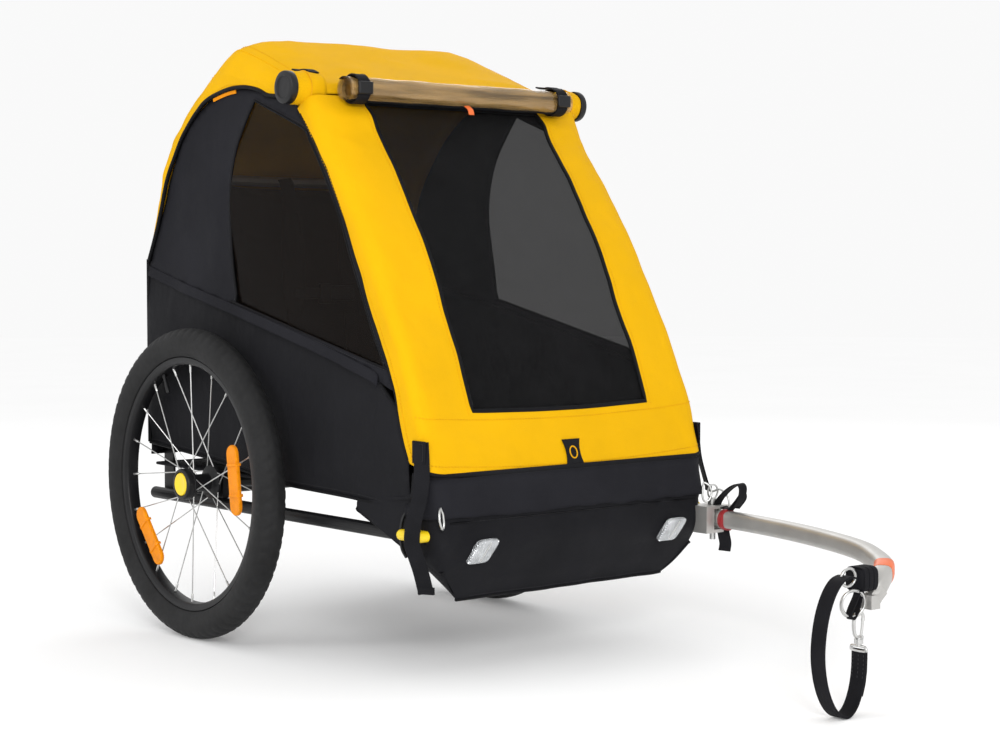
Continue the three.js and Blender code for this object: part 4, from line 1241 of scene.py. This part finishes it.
def cushion(name, low, high, lean, node, pressure=4.0, cap=0.012):
    """A padded block between two corners, its top pushed back by lean, swollen as cloth by cap at most."""
    low, high = np.array(low, float), np.array(high, float)
    points, faces = rounded_box(low + 5, high - 5, 12)
    share = (points[:, 2] - low[2]) / (high[2] - low[2])
    points[:, 1] += lean * share
    piece = build(name, points, faces, "black_cloth", "frame", node)
    modifier(piece, "WELD", merge_threshold=0.0002)
    modifier(piece, "REMESH", mode="VOXEL", voxel_size=0.007, use_smooth_shade=True)
    bake(piece)
    rest = np.array([v.co for v in piece.data.vertices])
    swelling = piece.modifiers.new("cloth", "CLOTH")
    swelling.settings.use_pressure = True
    swelling.settings.uniform_pressure_force = pressure
    swelling.settings.effector_weights.gravity = 0
    swelling.point_cache.frame_end = SWELL_FRAMES
    for number in range(1, SWELL_FRAMES + 1):
        bpy.context.scene.frame_set(number)
    bake(piece)
    bpy.context.scene.frame_set(1)
    now = np.array([v.co for v in piece.data.vertices])
    shift = now - rest
    size = np.linalg.norm(shift, axis=1, keepdims=True)
    now = rest + shift * np.minimum(1, cap / np.maximum(size, 1e-9))
    piece.data.vertices.foreach_set("co", now.astype(np.float32).ravel())
    piece.data.update()
    piece.data.shade_smooth()
    return piece


def bake(piece):
    """Applies a piece's modifiers to its mesh."""
    graph = bpy.context.evaluated_depsgraph_get()
    made = bpy.data.meshes.new_from_object(piece.evaluated_get(graph))
    piece.modifiers.clear()
    piece.data = made


def press(piece, lines, depth, width):
    """Sewn channels: pulls a cushion in along lines, in mm from the wheel axis."""
    co = np.array([v.co for v in piece.data.vertices])
    normal = np.array([v.normal for v in piece.data.vertices])
    pull = np.zeros(len(co))
    for line in lines:
        path = mm(line)
        for a, b in zip(path, path[1:]):
            t = np.clip((co - a) @ (b - a) / max((b - a) @ (b - a), 1e-12), 0, 1)
            off = np.linalg.norm(co - a - t[:, None] * (b - a), axis=1)
            pull = np.maximum(pull, np.exp(-((off / (width * 0.001)) ** 2)))
    co -= normal * (pull * depth * 0.001)[:, None]
    piece.data.vertices.foreach_set("co", co.astype(np.float32).ravel())
    piece.data.update()


base = cushion("seat_cushion", (-195, -222, 275), (195, 84, 330), 0, "seat_base")
press(base, [[(x_, -225, 325), (x_, 60, 331)] for x_ in (-65, 65)], 5, 9)
back = cushion("back_cushion", (-190, 72, 340), (190, 104, 748), 26, "seat_back")
press(back, [[(x_, 66 + 0.065 * (z_ - 336), z_) for x_ in (-190, 190)] for z_ in (430, 540, 650)], 5, 9)
squash(back)
for k, (z_, y_) in enumerate(((300, -226), (328, -218))):
    path = [(-190, y_ + 12, z_), (-180, y_, z_), (0, y_ - 2, z_), (180, y_, z_), (190, y_ + 12, z_)]
    build(f"seat_piping_{k}", *tube(resample(path, 60), 2.2, 10), "piping", "frame", slot="black_cloth")

straps = []
swell = np.sin(np.linspace(0.25, math.pi - 0.25, 30)) ** 0.4
for s in (-1, 1):
    path = mirrored(s, [(60, 58, 352), (60, 64, 400), (60, 70, 480), (59, 76, 560), (58, 83, 650), (60, 90, 730),
                        (62, 97, 748)])
    straps.append(strip(path, 50, 28, 3, (1, 0, 0)))
    pad = resample(mirrored(s, [(59.5, 71, 520), (59, 73, 570), (58, 79, 640), (58, 84, 690)]), 30)
    straps.append(sweep(pad, [(a * 24, b * 7) for a, b in circle(1, 20)], side=(1, 0, 0), scale=swell))
squash(build("harness_straps", *joined(straps), "webbing", "frame", "harness"))
clip = joined([rounded_box((-62, 65, 543), (-4, 72, 562), 2.5), rounded_box((-8, 64, 539), (62, 73, 566), 3),
               rounded_box((-12, 62, 535), (12, 74, 570), 4)])
squash(build("chest_clip", *clip, "black_plastic", "frame", slot="webbing"))

# ---- tow arm and hitch ----
ARM = [(280, -598, 205), (276, -660, 205), (266, -760, 203), (250, -850, 200), (226, -935, 196), (196, -990, 191),
       (164, -1030, 187), (137, -1048, 181), (120, -1054, 171), (112, -1054, 160)]
arm_path = resample(ARM, 90)
boxy = np.array([squared(a, 0.6) for a in around(48)]) * (13.4, 13.6)
scale = np.ones(90)
scale[-3:] = (0.99, 0.95, 0.86)
root = lathe([(0, -14), (13, -14), (14, -13), (14, 13), (13, 14), (0, 14)], 40, (0, 0, 0), 1, closed=False)
root_points = root[0][:, [1, 2, 0]] + (280, -592, 205)
pieces = joined([sweep(arm_path, boxy, side=(0, 0, 1), scale=scale), (root_points, root[1])])
build("arm_tube", *pieces, "aluminium", "tow_arm", "tow_arm")
ring_path = [np.array([280, -592, 205]) + np.array([-0.052, -1, 0]) * t for t in (27, 28, 37, 38)]
build("arm_band", *sweep(ring_path, circle(16.6, 40), side=(0, 0, 1), scale=[0.96, 1, 1, 0.96]), "red_plastic",
      "tow_arm", "tow_band")
build("tip_ring", *sweep(arm_path[-13:-7], boxy * 1.04, side=(0, 0, 1)), "orange_plastic", "tow_arm",
      slot="red_plastic")
wrap_body = rounded_box((77, HITCH_Y - 15, 169), (106, HITCH_Y + 15, 198), 4, puff=1.2)
turns = []
for x_ in (82, 91.5, 101):
    turn = [(x_, HITCH_Y + c * 16.2, 183.5 + sn * 15.7) for c, sn in (squared(a, 0.5) for a in around(48))]
    turns.append(sweep(turn, flat(8.6, 2.2), side=(1, 0, 0), closed=True))
build("hitch_wrap", *joined([wrap_body, *turns]), "webbing", "tow_arm", "strap_keeper")
rings = [loop_ring((64, HITCH_Y, 187), 12, 2.1, (0.2, 1, 0.1)),
         loop_ring((72, HITCH_Y - 2, 152), 18, 1.7, (0.3, 1, 0.1)),
         loop_ring((74, HITCH_Y + 1, 150), 18, 1.7, (0.36, 1, 0.06))]
build("split_rings", *joined(rings), "steel", "tow_arm")
web = [(x, HITCH_Y, z) for x, z in ((84, 170), (80, 160), (70, 145), (66, 135), (72, 131), (80, 140), (86, 156),
                                    (90, 169))]
build("ring_loop", *strip(web, 50, 12, 2, (0, 1, 0)), "webbing", "tow_arm")
sleeve = [strap_path[k] + (off, 0, 0) for k, off in ((-12, 2.4), (-9, 2.6), (-6, 2.6), (-3, 2.4), (-1, 2.2))]
build("strap_fold", *sweep(sleeve, flat(25, 2.4), side=(0, 1, 0)), "webbing", "tow_arm")

# Black retaining loop at the arm's root, its clip and its loose end.
for name, points, count, width, side in (
    ("root_loop", [(280, -599, 221), (280, -608, 236), (279, -630, 254), (277, -652, 263), (274, -662, 256),
                   (276, -656, 240), (281, -640, 226), (284, -622, 222), (283, -606, 224)], 60, 15, (1, -0.2, 0.1)),
    ("root_knot", [(276, -634, 221), (277, -648, 236), (281, -655, 246), (285, -652, 238), (284, -640, 224)],
     40, 12, (1, -0.3, 0.1)),
    ("root_strap", [(284, -610, 190), (285, -612, 178), (286, -614, 166), (286, -612, 154)],
     30, 19, (0.77, -0.64, 0)),
):
    build(name, *strip(points, count, width, 2.2, side), "webbing", "tow_arm")
clip_path = resample([(280, -592, 246), (284, -604, 250), (288, -616, 240), (288, -620, 224), (286, -618, 206),
                      (284, -610, 190)], 50)
build("pin_clip", *tube(clip_path, 1.6, 10), "steel", "tow_pin")
